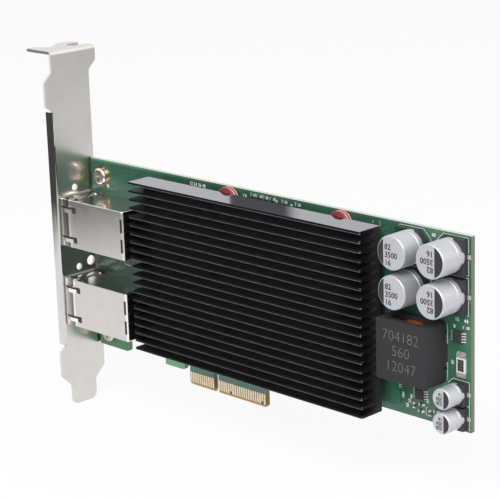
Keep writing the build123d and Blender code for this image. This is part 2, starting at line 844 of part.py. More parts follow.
large_sites = [(x, z, 1 if x == large_cap_xs[0] else -1) for z in large_cap_zs for x in large_cap_xs]
for number, (x, z, chamfered) in enumerate(large_sites, start=1):
    capacitor(f"capacitor_{number}", x, z, large_can_d, large_can_h, large_base_w, chamfered)
for number, z in enumerate(small_cap_zs, start=1):
    capacitor(f"small_capacitor_{number}", small_cap_x, z, small_can_d, small_can_h, small_base_w, -1)

# Flat feet under the bases of all the capacitors
feet = [(x, z, large_base_w) for x, z, chamfered in large_sites]
feet += [(small_cap_x, z, small_base_w) for z in small_cap_zs]
with BuildPart() as capacitor_feet:
    with BuildSketch(above(0)):
        for x, z, base_w in feet:
            length = foot_share * base_w + foot_over
            with Locations([(x + side * (base_w / 2 + foot_over - length / 2), z) for side in (-1, 1)]):
                Rectangle(length, foot_w)
    extrude(amount=foot_t)
save(capacitor_feet.part, "capacitor_feet")

# Power inductor: a grooved ferrite block with a coil of flat wire round the post in its throat
coil_w = throat_w - 2 * coil_gap
coil_l = core_l - 2 * coil_sink
coil_h = throat_h1 - throat_h0 - coil_gap
post_w = coil_w - 2 * coil_width - 2 * post_gap
post_l = coil_l - 2 * coil_width - 2 * post_gap
with BuildPart() as inductor_core:
    with BuildSketch(above(core_foot)):
        with Locations((coil_x, coil_z)):
            block = Rectangle(core_w, core_l)
        chamfer(block.vertices(), core_chamfer)
    extrude(amount=core_h - core_foot)
    with BuildSketch(Plane.XY.offset(coil_z - core_l / 2)):
        with Locations((coil_x, height_y((throat_h0 + throat_h1) / 2))):
            Rectangle(throat_w, throat_h1 - throat_h0)
    extrude(amount=core_l, mode=Mode.SUBTRACT)
    with BuildSketch(above(throat_h0)):
        with Locations([(coil_x, coil_z + side * (core_l / 2 - groove_depth / 2)) for side in (-1, 1)]):
            Rectangle(groove_w, groove_depth)
    extrude(amount=throat_h1 - throat_h0, mode=Mode.SUBTRACT)
    with BuildSketch(above(throat_h0)):
        with Locations((coil_x, coil_z)):
            RectangleRounded(post_w, post_l, coil_r - coil_width - post_gap)
    extrude(amount=throat_h1 - throat_h0)
save(inductor_core.part, "inductor_core")

with BuildPart() as inductor_coil:
    with BuildSketch(above(throat_h0)):
        with Locations((coil_x, coil_z)):
            RectangleRounded(coil_w - 2 * coil_groove, coil_l - 2 * coil_groove, coil_r - coil_groove)
    extrude(amount=coil_h)
    for turn in range(coil_turns):
        with BuildSketch(above(throat_h0 + turn * coil_h / coil_turns)):
            with Locations((coil_x, coil_z)):
                RectangleRounded(coil_w, coil_l, coil_r)
        extrude(amount=coil_h / coil_turns - coil_groove)
    with BuildSketch(above(throat_h0)):
        with Locations((coil_x, coil_z)):
            RectangleRounded(post_w + 2 * post_gap, post_l + 2 * post_gap, coil_r - coil_width)
    extrude(amount=coil_h, mode=Mode.SUBTRACT)
save(inductor_coil.part, "inductor_coil")

with BuildPart() as inductor_terminals:
    with BuildSketch(above(0)):
        with Locations([(coil_x + side * core_w / 2, coil_z) for side in (-1, 1)]):
            Rectangle(2 * terminal_over, terminal_w)
    extrude(amount=core_foot)
save(inductor_terminals.part, "inductor_terminals")


def side_y(h, solder_side):
    """Y of a point h over the component side or, where asked, over the solder side."""
    return solder_y + h if solder_side else component_y - h


def package(label, spec, solder_side=False):
    """A moulded package and its gull-wing leads, which stand along both of its X sides."""
    x, z, body_x, body_z, height = spec
    with BuildPart() as body:
        with BuildSketch(behind(package_rise) if solder_side else above(package_rise)):
            with Locations((x, z)):
                Rectangle(body_x, body_z)
        block = extrude(amount=(package_rise - height) if solder_side else (height - package_rise))
        top = block.faces().filter_by(Axis.Y).sort_by(Axis.Y)[-1 if solder_side else 0]
        chamfer(top.edges(), package_chamfer)
    save(body.part, label)
    with BuildPart() as leadframe:
        for i in range(lead_count):
            lead_z = z + ((i + 0.5) / lead_count - 0.5) * body_z - lead_w / 2
            for side in (-1, 1):
                edge = x + side * body_x / 2
                with BuildSketch(Plane.XY.offset(lead_z)):
                    with BuildLine():
                        FilletPolyline((edge, side_y(height / 2, solder_side)),
                                       (edge + side * lead_reach / 2, side_y(height / 2, solder_side)),
                                       (edge + side * lead_reach / 2, side_y(lead_t / 2, solder_side)),
                                       (edge + side * lead_reach, side_y(lead_t / 2, solder_side)),
                                       radius=lead_bend_r)
                    trace(line_width=lead_t)
                extrude(amount=lead_w)
    save(leadframe.part, f"{label}_leads")


package("regulator_chip", regulator)
package("sense_chip", sense_chip)
package("flash_chip", flash_chip, solder_side=True)

# Current-sense resistor: ceramic body, dark coating and tinned ends
with BuildPart() as shunt_body:
    with BuildSketch(above(0)):
        with Locations((shunt_x, shunt_z)):
            Rectangle(shunt_w, shunt_l - 2 * shunt_end)
    extrude(amount=shunt_t)
save(shunt_body.part, "shunt_body")

with BuildPart() as shunt_coating:
    with BuildSketch(above(shunt_t)):
        with Locations((shunt_x, shunt_z)):
            Rectangle(shunt_w - 2 * shunt_coat_edge, shunt_l - 2 * shunt_end - 2 * shunt_coat_edge)
    extrude(amount=shunt_coat_t)
save(shunt_coating.part, "shunt_coating")

with BuildPart() as shunt_ends:
    with BuildSketch(above(0)):
        with Locations([(shunt_x, shunt_z + side * (shunt_l - shunt_end) / 2) for side in (-1, 1)]):
            Rectangle(shunt_w, shunt_end)
    extrude(amount=shunt_t)
save(shunt_ends.part, "shunt_ends")

# Chip parts: the bodies of two kinds, and the tinned ends of them all
back_spots = [(chip_x + (i - (back_columns - 1) / 2) * back_pitch,
               chip_z + (j - (back_rows - 1) / 2) * back_pitch, True)
              for i in range(back_columns) for j in range(back_rows)]


def chip_bodies(label, front, back):
    """Bodies of one kind of chip part, on both sides of the board."""
    with BuildPart() as bodies:
        for plane, spots, amount in ((above(0), front, chip_t), (behind(0), back, -chip_t)):
            if spots:
                with BuildSketch(plane):
                    for x, z, along_x in spots:
                        with Locations(Location((x, z), 0 if along_x else 90)):
                            Rectangle(chip_l - 2 * chip_end, chip_w)
                extrude(amount=amount)
    save(bodies.part, label)


chip_bodies("ceramic_capacitors", ceramic_spots, back_spots)
chip_bodies("chip_resistors", resistor_spots, ())

with BuildPart() as chip_ends:
    front_spots = ceramic_spots + resistor_spots
    for plane, spots, amount in ((above(0), front_spots, chip_t), (behind(0), back_spots, -chip_t)):
        with BuildSketch(plane):
            for x, z, along_x in spots:
                with Locations(Location((x, z), 0 if along_x else 90)):
                    with Locations([(side * (chip_l - chip_end) / 2, 0) for side in (-1, 1)]):
                        Rectangle(chip_end, chip_w)
        extrude(amount=amount)
save(chip_ends.part, "chip_ends")
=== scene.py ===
"""The look of a two-port network interface card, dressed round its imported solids.

X runs from the bracket to the card's free end, Y from the component side (negative) to the solder side,
and Z upwards, with the origin in the key notch at the lower edge of the edge connector. Sizes are written
in millimetres and turned into metres where a piece is made.
"""

import logging
import math
from dataclasses import dataclass
from enum import Enum
from typing import Callable, Iterable, Protocol, Sequence, Union

import bpy
from mathutils import Matrix, Vector

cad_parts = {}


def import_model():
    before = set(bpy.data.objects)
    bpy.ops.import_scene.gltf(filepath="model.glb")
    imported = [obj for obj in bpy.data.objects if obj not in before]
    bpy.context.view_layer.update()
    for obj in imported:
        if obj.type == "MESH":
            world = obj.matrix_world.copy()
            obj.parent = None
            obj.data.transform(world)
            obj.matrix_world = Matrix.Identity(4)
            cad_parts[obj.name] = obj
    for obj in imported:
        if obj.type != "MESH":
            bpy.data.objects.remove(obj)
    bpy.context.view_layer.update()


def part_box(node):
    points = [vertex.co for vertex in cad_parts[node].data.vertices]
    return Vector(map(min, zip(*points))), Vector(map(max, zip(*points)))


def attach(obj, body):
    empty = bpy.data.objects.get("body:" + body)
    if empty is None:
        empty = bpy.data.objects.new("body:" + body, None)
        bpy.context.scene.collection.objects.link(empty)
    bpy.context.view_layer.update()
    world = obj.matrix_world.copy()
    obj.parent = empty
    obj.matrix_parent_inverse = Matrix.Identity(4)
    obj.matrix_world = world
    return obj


log = logging.getLogger("card")

MM = 0.001  # one millimetre in metres
BODY = "root"  # the only body that the new pieces ride on
PRINT_HEIGHT = 0.012  # how thick the prints are
LINE_SIDES = 12  # how many sides the round ends of a printed line have
DIGIT_STEPS = 3  # how finely the curves of digits are drawn
UPWARD = 0.9  # a face looks upwards where Z of its normal is more than this
NOISE_SPAN = (0.3, 0.7)  # what most of a noise lies between
SHADE_SPAN = (0.0, 1.0)  # what a shade covers
FINE_DETAIL = 3.0  # the finer layers of a noise that is seen closely
GLOSS_SWING = 0.1  # how far a roughness goes up and down with its pattern, as a share of it

Colour = tuple[float, float, float]
Triple = tuple[float, float, float]
Spot = tuple[float, float]
Span = tuple[float, float]
Area = tuple[float, float, float, float]
Line = Sequence[Spot]


class Side(Enum):
    """The two faces of the board."""

    COMPONENT = -1
    SOLDER = 1


class Slot(Enum):
    """Names of material slots meant for the new pieces, which this script gives to none of them."""

    BOARD = "circuit_board"
    GOLD = "gold"
    CHIP = "chip_plastic"
    CAN = "can_aluminium"
    FERRITE = "ferrite"
    TIN = "tin"


def linear(colour: Colour) -> tuple[float, float, float, float]:
    """Turn a colour written as 0 to 255 per channel into the linear values that shaders take.

    Args:
        colour: red, green and blue as they look on a screen.

    Returns:
        The linear colour by the screens' standard curve, with full alpha.
    """
    parts = [c / 255 for c in colour]
    red, green, blue = [p / 12.92 if p <= 0.04045 else ((p + 0.055) / 1.055) ** 2.4 for p in parts]
    return red, green, blue, 1.0


class Value:
    """A shader value that takes Python's operators, each of which adds one Math node."""

    def __init__(self, graph: "Graph", socket: bpy.types.NodeSocket) -> None:
        """Wrap a socket.

        Args:
            graph: the graph that the nodes are added to.
            socket: the output that carries the value.
        """
        self.graph = graph
        self.socket = socket

    def math(self, operation: str, *others: "Number") -> "Value":
        """Return operation(self, *others)."""
        return self.graph.math(operation, self, *others)

    def __add__(self, other: "Number") -> "Value":
        """Return self + other."""
        return self.math("ADD", other)

    def __radd__(self, other: "Number") -> "Value":
        """Return other + self."""
        return self.math("ADD", other)

    def __sub__(self, other: "Number") -> "Value":
        """Return self - other."""
        return self.math("SUBTRACT", other)

    def __rsub__(self, other: "Number") -> "Value":
        """Return other - self."""
        return self.graph.math("SUBTRACT", other, self)

    def __mul__(self, other: "Number") -> "Value":
        """Return self * other."""
        return self.math("MULTIPLY", other)

    def __rmul__(self, other: "Number") -> "Value":
        """Return other * self."""
        return self.math("MULTIPLY", other)

    def __truediv__(self, other: "Number") -> "Value":
        """Return self / other."""
        return self.math("DIVIDE", other)

    def __lt__(self, other: "Number") -> "Value":
        """Return 1 where self is below other, and 0 elsewhere."""
        return self.math("LESS_THAN", other)

    def __gt__(self, other: "Number") -> "Value":
        """Return 1 where self is above other, and 0 elsewhere."""
        return self.math("GREATER_THAN", other)

    def __or__(self, other: "Number") -> "Value":
        """Return the larger of self and other, which joins two masks."""
        return self.math("MAXIMUM", other)

    def __abs__(self) -> "Value":
        """Return the size of self without its sign."""
        return self.math("ABSOLUTE")

    def between(self, low: float, high: float) -> "Value":
        """Return 1 where self lies between low and high, and 0 elsewhere."""
        return (self > low) * (self < high)

    def repeat(self, pitch: float) -> "Value":
        """Return the distance from the nearest multiple of pitch."""
        return self.math("PINGPONG", pitch / 2)


Number = Union[Value, float, int]
Input = Union[Value, bpy.types.NodeSocket, float, int, tuple, Vector]


class Graph:
    """The node graph of one material, which starts with its Principled shader."""

    def __init__(self, name: str) -> None:
        """Make the material.

        Args:
            name: the material's name.
        """
        self.material = bpy.data.materials.new(name)
        self.material.use_nodes = True
        self.tree = self.material.node_tree
        self.shader = self.tree.nodes["Principled BSDF"]

    def node(self, kind: str, settings: dict[str, object] | None = None,
             inputs: dict[str | int, Input] | None = None) -> bpy.types.Node:
        """Add a node, give it its settings, and then fill its sockets.

        Args:
            kind: the node's type.
            settings: its own settings by name.
            inputs: values or links by the socket's name or number.

        Returns:
            The new node.
        """
        node = self.tree.nodes.new(kind)
        for key, setting in (settings or {}).items():
            setattr(node, key, setting)
        for key, value in (inputs or {}).items():
            self.fill(node.inputs[key], value)
        return node

    def fill(self, socket: bpy.types.NodeSocket, value: Input) -> None:
        """Link or set one socket.

        Args:
            socket: the socket.
            value: what goes in: a value or socket is linked, and anything else is set.
        """
        if isinstance(value, Value):
            self.tree.links.new(value.socket, socket)
        elif isinstance(value, bpy.types.NodeSocket):
            self.tree.links.new(value, socket)
        else:
            socket.default_value = value

    def math(self, operation: str, *values: Number) -> Value:
        """Add a Math node on the values, and return its result."""
        node = self.node("ShaderNodeMath", {"operation": operation}, dict(enumerate(values)))
        return Value(self, node.outputs[0])

    def place(self, stretch: Triple = (1.0, 1.0, 1.0), centre: Triple = (0.0, 0.0, 0.0)) -> bpy.types.NodeSocket:
        """Return the place on the object in millimetres.

        Args:
            stretch: factors along X, Y and Z; a small one draws a pattern out along that axis.
            centre: the point in millimetres, before the stretch, that becomes zero.

        Returns:
            The vector socket.
        """
        place = self.node("ShaderNodeTexCoord").outputs["Object"]
        scale = tuple(s / MM for s in stretch)
        shift = tuple(-c * s for c, s in zip(centre, stretch))
        node = self.node("ShaderNodeMapping", None, {"Vector": place, "Location": shift, "Scale": scale})
        return node.outputs["Vector"]

    def xyz(self, centre: Triple = (0.0, 0.0, 0.0)) -> tuple[Value, Value, Value]:
        """Split the place on the object.

        Args:
            centre: the point in millimetres that becomes zero.

        Returns:
            X, Y and Z in millimetres.
        """
        node = self.node("ShaderNodeSeparateXYZ", None, {"Vector": self.place(centre=centre)})
        x, y, z = node.outputs
        return Value(self, x), Value(self, y), Value(self, z)

    def noise(self, size: float, detail: float = 2.0, stretch: Triple = (1.0, 1.0, 1.0)) -> Value:
        """Return a noise of about 0 to 1.

        Args:
            size: how large its patches are, in millimetres.
            detail: how many finer layers it has.
            stretch: factors along X, Y and Z, as in place.

        Returns:
            The noise.
        """
        node = self.node("ShaderNodeTexNoise", {"noise_dimensions": "3D"},
                         {"Vector": self.place(stretch), "Scale": 1 / size, "Detail": detail})
        return Value(self, node.outputs["Fac"])

    def clouds(self, size: float, detail: float = 2.0) -> Value:
        """Return a noise that is stretched until it reaches from 0 to 1, with size and detail as in noise."""
        return self.spread(self.noise(size, detail), *NOISE_SPAN)

    def spread(self, value: Value, low: float, high: float, to_low: float = 0.0, to_high: float = 1.0) -> Value:
        """Map one span of a value onto another, and clamp it there.

        Args:
            value: the value.
            low: where the span starts.
            high: where it ends.
            to_low: what low becomes.
            to_high: what high becomes.

        Returns:
            The mapped value.
        """
        node = self.node("ShaderNodeMapRange", {"clamp": True},
                         {"Value": value, "From Min": low, "From Max": high, "To Min": to_low, "To Max": to_high})
        return Value(self, node.outputs["Result"])

    def mix(self, factor: Number, below: Input, above: Input) -> bpy.types.NodeSocket:
        """Mix two colours.

        Args:
            factor: 0 for the colour below, 1 for the one above.
            below: the first colour, linear, or its socket.
            above: the second colour, linear, or its socket.

        Returns:
            The colour socket.
        """
        node = self.node("ShaderNodeMix", {"data_type": "RGBA"}, {"Factor": factor, 6: below, 7: above})
        return node.outputs[2]

    def bump(self, height: Value, depth: float) -> None:
        """Raise the surface by a height of 0 to 1, depth millimetres deep."""
        node = self.node("ShaderNodeBump", None, {"Height": height, "Distance": depth * MM, "Strength": 1.0})
        self.fill(self.shader.inputs["Normal"], node.outputs["Normal"])

    def surface(self, **sockets: Input) -> None:
        """Fill the shader's sockets.

        Args:
            sockets: what goes into each, named in small letters with underscores.
        """
        names = {name.lower().replace(" ", "_"): name for name in self.shader.inputs.keys()}
        for key, value in sockets.items():
            self.fill(self.shader.inputs[names[key]], value)


@dataclass(frozen=True)
class Finish:
    """A plain finish with soft mottling, the base of the others.

    Args:
        name: the material's name.
        colour: the main colour, 0 to 255.
        accent: the colour that the mottling turns to.
        roughness: how matt it is, 0 to 1.
        metallic: 1 for bare metal.
        grain: how large the mottling is, in millimetres.
        relief: how deep its fine relief is, in millimetres.
    """

    name: str
    colour: Colour
    accent: Colour
    roughness: float = 0.5
    metallic: float = 0.0
    grain: float = 1.0
    relief: float = 0.0

    def material(self) -> bpy.types.Material:
        """Make the material, once for each name.

        Returns:
            The material.
        """
        made = bpy.data.materials.get(self.name)
        if made is None:
            graph = Graph(self.name)
            self.paint(graph)
            made = graph.material
        return made

    def tint(self, graph: Graph, shade: Value) -> bpy.types.NodeSocket:
        """Return the main colour, turning to the accent as a shade goes from 0 to 1."""
        return graph.mix(shade, linear(self.colour), linear(self.accent))

    def gloss(self, graph: Graph, pattern: Value, span: Span = NOISE_SPAN) -> Value:
        """Let the roughness go up and down with a pattern.

        Args:
            graph: the material's graph.
            pattern: the pattern.
            span: what the pattern lies between.

        Returns:
            The roughness.
        """
        return graph.spread(pattern, *span, self.roughness * (1 - GLOSS_SWING), self.roughness * (1 + GLOSS_SWING))

    def paint(self, graph: Graph) -> None:
        """Mottle the colour and the gloss, and raise the fine relief.

        Args:
            graph: the material's graph.
        """
        mottle = graph.clouds(self.grain, FINE_DETAIL)
        graph.surface(base_color=self.tint(graph, mottle), roughness=self.gloss(graph, mottle, SHADE_SPAN),
                      metallic=self.metallic)
        if self.relief:
            graph.bump(graph.noise(self.grain / 4), self.relief)


@dataclass(frozen=True)
class SolderMask(Finish):
    """The board: green mask over copper, bare laminate on the edges and round the gold contacts.

    Args:
        half: half of the board's thickness in millimetres.
        skin: how near to a face the mask starts.
        laminate: the colour of the cut edges.
        laminate_matt: the roughness of bare laminate.
        ply_pitch: how far apart the plies in the edges lie.
        ply_half: half of a ply's width.
        ply_share: how strongly the plies show.
        top_edge: the colour of the long upper edge, which catches the light.
        top_z: the height from which that edge is.
        thin_green: the mask where no copper lies under it and light comes through.
        thin_z: the height beside the tongue up to which light comes through.
        thin_xs: X between which that sets in.
        thin_low: how much of it there is before the first.
        lit_edge: the cut edge there.
        lit_share: how much of the edge turns to it.
        glow_xs: X between which a faint light sets in towards the free end.
        glow: how strong that is.
        rim_zs: Z between which painted light turns the mask along the upper edge paler.
        rim_xs: X between which that pale rim fades.
        rim_shares: how strong it is before and after.
        painted_teal_light: the painted light, blue-green, that the mask over the contacts turns to.
        teal_top: the height up to which it does.
        teal_share: how much it does.
        root: the colour of the bare laminate on the tongue.
        bevel: the colour of the tongue's bevel.
        bevel_z: the height of that bevel.
        pour: the colour of the mask where copper lies under it.
        pours: (x0, x1, z0, z1) of the larger copper areas.
        tongue: X of both sides of the tongue.
        opening_z: the height on the tongue up to which the mask is left off.
        dot_pitch: how far apart the copper dots by the upper jack lie.
        dot_gap: half of the gap between them.
        dots_until: X up to which they are.
        dots_from: Z from which they are.
        track_slope: how far the tracks over the tongue lean.
        track_pitch: how far apart they lie.
        track_half: half of a track's width.
        track_zs: Z between which they run.
        faint: how strongly dots and tracks show.
        weave: how large the glass weave's relief is.
        copper_relief: the copper's share of the relief, the weave having the rest.
    """

    half: float = 0.785
    skin: float = 0.01
    laminate: Colour = (100, 112, 92)
    laminate_matt: float = 0.7
    ply_pitch: float = 0.26
    ply_half: float = 0.035
    ply_share: float = 0.4
    top_edge: Colour = (206, 206, 200)
    top_z: float = 68.8
    thin_green: Colour = (118, 194, 141)
    thin_z: float = 11.9
    thin_xs: Span = (-41.0, -24.0)
    thin_low: float = 0.45
    lit_edge: Colour = (140, 146, 88)
    lit_share: float = 0.8
    glow_xs: Span = (60.0, 85.0)
    glow: float = 0.08
    rim_zs: Span = (67.9, 68.9)
    rim_xs: Span = (-50.0, 10.0)
    rim_shares: Span = (0.45, 0.12)
    painted_teal_light: Colour = (104, 168, 150)
    teal_top: float = 8.4
    teal_share: float = 0.4
    root: Colour = (128, 98, 62)
    bevel: Colour = (186, 148, 82)
    bevel_z: float = 0.95
    pour: Colour = (56, 110, 84)
    pours: tuple[Area, ...] = ((73.3, 76.6, 14.6, 21.6),)
    tongue: Span = (-12.2, 22.2)
    opening_z: float = 4.45
    dot_pitch: float = 1.5
    dot_gap: float = 0.38
    dots_until: float = -22.0
    dots_from: float = 50.0
    track_slope: float = 0.5
    track_pitch: float = 1.1
    track_half: float = 0.16
    track_zs: Span = (5.2, 12.0)
    faint: float = 0.3
    weave: float = 0.5
    copper_relief: float = 0.8

    def copper(self, x: Value, z: Value) -> Value:
        """Find where copper shows through the mask.

        Args:
            x: X on the board.
            z: Z on the board.

        Returns:
            How strongly it shows, from 0 to 1.
        """
        dots = (x.repeat(self.dot_pitch) > self.dot_gap) * (z.repeat(self.dot_pitch) > self.dot_gap)
        copper = dots * self.faint * (x < self.dots_until) * (z > self.dots_from)
        for x0, x1, z0, z1 in self.pours:
            copper = copper | x.between(x0, x1) * z.between(z0, z1)
        tracks = (x + z * self.track_slope).repeat(self.track_pitch) < self.track_half
        return copper | tracks * self.faint * z.between(*self.track_zs)

    def paint(self, graph: Graph) -> None:
        """Lay the laminate, the copper's lighter shapes and the mask over each other.

        Args:
            graph: the material's graph.
        """
        x, y, z = graph.xyz()
        on_tongue = x.between(*self.tongue)
        bare = (z < self.opening_z) * on_tongue
        thin = (z < self.thin_z) * (1 - on_tongue) * graph.spread(x, *self.thin_xs, self.thin_low)

        copper = self.copper(x, z)
        green = self.tint(graph, graph.clouds(self.grain, FINE_DETAIL))
        green = graph.mix(copper, green, linear(self.pour))
        glow = graph.spread(x, *self.glow_xs, 0.0, self.glow)
        rim = graph.spread(z, *self.rim_zs) * graph.spread(x, *self.rim_xs, *self.rim_shares)
        # painted light coming through the board beside the tongue, towards the free end and along the upper edge
        for light in (thin, glow, rim):
            green = graph.mix(light, green, linear(self.thin_green))
        # painted light turns the mask just over the contacts blue-green
        painted_teal_light = z.between(self.opening_z, self.teal_top) * on_tongue
        green = graph.mix(painted_teal_light * self.teal_share, green, linear(self.painted_teal_light))
        face = graph.mix(bare, green, linear(self.root))

        plies = y.repeat(self.ply_pitch) < self.ply_half
        edge = graph.mix(plies * self.ply_share, linear(self.laminate), linear(self.root))
        edge = graph.mix(z > self.top_z, edge, linear(self.top_edge))
        edge = graph.mix(thin * self.lit_share, edge, linear(self.lit_edge))
        edge = graph.mix(bare, edge, linear(self.root))
        edge = graph.mix((z < self.bevel_z) * bare, edge, linear(self.bevel))

        on_face = abs(y) > self.half - self.skin
        masked = on_face * (1 - bare)
        graph.surface(base_color=graph.mix(on_face, edge, face),
                      roughness=graph.spread(masked, *SHADE_SPAN, self.laminate_matt, self.roughness))
        graph.bump(copper * self.copper_relief + graph.noise(self.weave) * (1 - self.copper_relief), self.relief)


@dataclass(frozen=True)
class Anodised(Finish):
    """Black anodised extrusion with fine die lines along X, worn corners, a painted highlight along each tip's lower
    edge and painted light down between the fins.

    Args:
        left: X of the saw-cut end nearer the bracket.
        right: X of the other saw-cut end.
        top: Z of the outer face of the uppermost fin.
        low: Z of the lowest fin's under side.
        pitch: the distance between fins.
        tip: Y of the fins' tips.
        line_size: how wide the die lines are.
        line_stretch: factors along X, Y and Z that draw them out along X.
        sawn_and_glint: the colour of the worn corners at the saw-cut ends, and of the painted highlight along the
            lower edge of each tip.
        end_wear: how far from a saw-cut end the corners are worn.
        corner_wear: how far in from the tips they are.
        chip_size: how large the worn places at the corners are.
        chip_span: the noise between which they set in.
        glint_w: how wide the painted highlight along the lower edge of each tip is.
        glint_depth: how far in from the tips it reaches.
        glint_size: how long the patches along it are.
        glint_span: the noise between which the highlight grows.
        glint_shares: how strong it is at the least and at the most.
        deep: the colour of the painted light down between the fins, which lifts their shade.
        deep_from: how far in from the tips it sets in.
        deep_to: how far in it is reached.
        deep_power: how slowly it sets in.
        fade_left: how far from the left end it is reached.
        fade_right: how far from the right end it starts to fade.
        right_share: what is left of it at that end.
        skin: how near to the outermost faces it stops.
        polished: the colour of the uppermost fin's smooth outer face.
        polish: how much of the roughness that face loses.
        top_skin: how near to that face it starts.
        specular: how strongly the black mirrors.
    """

    left: float = -24.15
    right: float = 72.65
    top: float = 67.7
    low: float = 12.35
    pitch: float = 2.725
    tip: float = -12.985
    line_size: float = 0.09
    line_stretch: Triple = (0.01, 1.0, 1.0)
    sawn_and_glint: Colour = (116, 116, 121)
    end_wear: float = 0.12
    corner_wear: float = 0.7
    chip_size: float = 0.6
    chip_span: Span = (0.5, 0.6)
    glint_w: float = 0.22
    glint_depth: float = 0.3
    glint_size: float = 2.5
    glint_span: Span = (0.3, 0.6)
    glint_shares: Span = (0.5, 0.9)
    deep: Colour = (164, 164, 166)
    deep_from: float = 0.5
    deep_to: float = 7.5
    deep_power: float = 1.8
    fade_left: float = 8.0
    fade_right: float = 14.0
    right_share: float = 0.07
    skin: float = 0.05
    polished: Colour = (134, 134, 141)
    polish: float = 0.75
    top_skin: float = 0.02
    specular: float = 0.06

    def paint(self, graph: Graph) -> None:
        """Draw the die lines, let paler metal show at the worn corners, paint a highlight along the lower edge of
        each tip, and paint light down between the fins.

        Args:
            graph: the material's graph.
        """
        x, y, z = graph.xyz()
        lines = graph.noise(self.line_size, stretch=self.line_stretch)

        ends = (x < self.left + self.end_wear) | (x > self.right - self.end_wear)
        chips = graph.spread(graph.noise(self.chip_size), *self.chip_span)
        corners = ends * (y < self.tip + self.corner_wear) * chips
        # painted highlight along the lower edge of each fin tip, stronger in patches
        edges = ((z - self.low).math("FLOORED_MODULO", self.pitch) < self.glint_w) * (y < self.tip + self.glint_depth)
        glint_patches = graph.spread(graph.noise(self.glint_size), *self.glint_span, *self.glint_shares)
        # the worn corners, joined with the painted highlight along the tips
        wear_and_glint = corners | edges * glint_patches

        # painted light that lifts the shade down between the fins, fading out towards both ends
        inside = (graph.spread(x, self.left, self.left + self.fade_left)
                  * graph.spread(x, self.right - self.fade_right, self.right, 1.0, self.right_share)
                  * z.between(self.low + self.skin, self.top - self.skin))
        depth = graph.spread(y, self.tip + self.deep_from, self.tip + self.deep_to).math("POWER", self.deep_power)
        outer = z > self.top - self.top_skin
        black = self.tint(graph, graph.clouds(self.grain))
        black = graph.mix(depth * inside, black, linear(self.deep))
        black = graph.mix(outer, black, linear(self.polished))
        graph.surface(base_color=graph.mix(wear_and_glint * (1 - outer), black, linear(self.sawn_and_glint)), metallic=outer,
                      specular_ior_level=self.specular,
                      roughness=self.gloss(graph, lines) * (1 - outer * self.polish))
        graph.bump(lines, self.relief)


@dataclass(frozen=True)
class RolledSheet(Finish):
    """Plated sheet metal with the fine lines that rolling leaves, the base of both kinds of sheet.

    Args:
        along: factors along X, Y and Z that draw the lines out, small along the rolling.
        line_size: how wide the lines are, as a share of the grain.
        line_detail: how many finer layers they have.
        line_share: how much of the shade they make up, the clouds having the rest.
        cloud_size: how large the clouds are, as a multiple of the grain.
        shade_span: what the two together lie between.
    """

    along: Triple = (1.0, 1.0, 0.03)
    line_size: float = 0.12
    line_detail: float = 3.0
    line_share: float = 0.4
    cloud_size: float = 9.0
    shade_span: Span = (0.35, 0.65)

    def roll(self, graph: Graph) -> tuple[Value, Value]:
        """Draw the rolling lines over soft clouds.

        Args:
            graph: the material's graph.

        Returns:
            The lines, and the shade of 0 to 1 that they make with the clouds.
        """
        lines = graph.noise(self.grain * self.line_size, self.line_detail, self.along)
        clouds = graph.noise(self.grain * self.cloud_size)
        return lines, graph.spread(lines * self.line_share + clouds * (1 - self.line_share), *self.shade_span)


@dataclass(frozen=True)
class StampedShield(RolledSheet):
    """A jack's shield, with a painted reflection of darker sky in its bowed band and painted highlights on its spring
    fingers, rolled edges and rear fold.

    Args:
        z: the height of the jack's middle, in millimetres.
        front: Y of its front wall.
        wall: how far from there along Y the painted reflection and highlights on the wall reach.
        bow: X of both sides of the bowed band's darker part.
        bow_start: how much of the painted reflection the band has at its first side.
        sky_reflection: the colour of the painted reflection that the bow turns to.
        finger: X of both ends of the fingers.
        finger_zs: Z of both sides of the upper and of the lower fingers, from the jack's middle.
        roll_xs: X of both sides of each rolled edge.
        roll_share: how strong the painted highlight on the rolled edges is.
        rear: X from which the front wall rolls over into the rear one.
        rear_reach: how far along Y from the front wall the painted highlight on that one reaches.
        painted_highlight: the colour of the painted highlight on the fingers, the rolled edges and the rear fold.
    """

    line_size: float = 0.2
    line_detail: float = 2.0
    line_share: float = 0.35
    cloud_size: float = 6.0
    z: float = 0.0
    front: float = -14.28
    wall: float = 0.9
    bow: Span = (-55.4, -52.6)
    bow_start: float = 0.35
    sky_reflection: Colour = (112, 98, 84)
    finger: Span = (-54.75, -50.65)
    finger_zs: tuple[Span, Span] = ((3.6, 5.0), (-6.4, -5.0))
    roll_xs: tuple[Span, Span] = ((-52.4, -51.7), (-56.1, -55.5))
    roll_share: float = 0.7
    rear: float = -26.9
    rear_reach: float = 1.2
    painted_highlight: Colour = (252, 250, 244)

    def paint(self, graph: Graph) -> None:
        """Paint the reflection into the band and the highlights onto the fingers and edges over the rolled sheet.

        Args:
            graph: the material's graph.
        """
        x, y, z = graph.xyz((0.0, self.front, self.z))
        wall = abs(y) < self.wall
        lines, shade = self.roll(graph)
        # painted reflection of darker sky in the bowed band
        band = graph.spread(x, *self.bow, self.bow_start) * x.between(*self.bow) * wall
        sheet = graph.mix(band, self.tint(graph, shade), linear(self.sky_reflection))
        upper, lower = [z.between(*span) for span in self.finger_zs]
        first, second = [x.between(*span) for span in self.roll_xs]
        # painted highlights on the spring fingers and the rolled edges
        fingers = (upper | lower) * x.between(*self.finger)
        sheet = graph.mix((fingers | (first | second) * self.roll_share) * wall, sheet, linear(self.painted_highlight))
        # painted highlight where the front wall rolls over into the rear one
        sheet = graph.mix((x > self.rear) * (y < self.rear_reach), sheet, linear(self.painted_highlight))
        graph.surface(base_color=sheet, metallic=self.metallic, roughness=self.gloss(graph, shade, SHADE_SPAN))
        graph.bump(lines, self.relief)


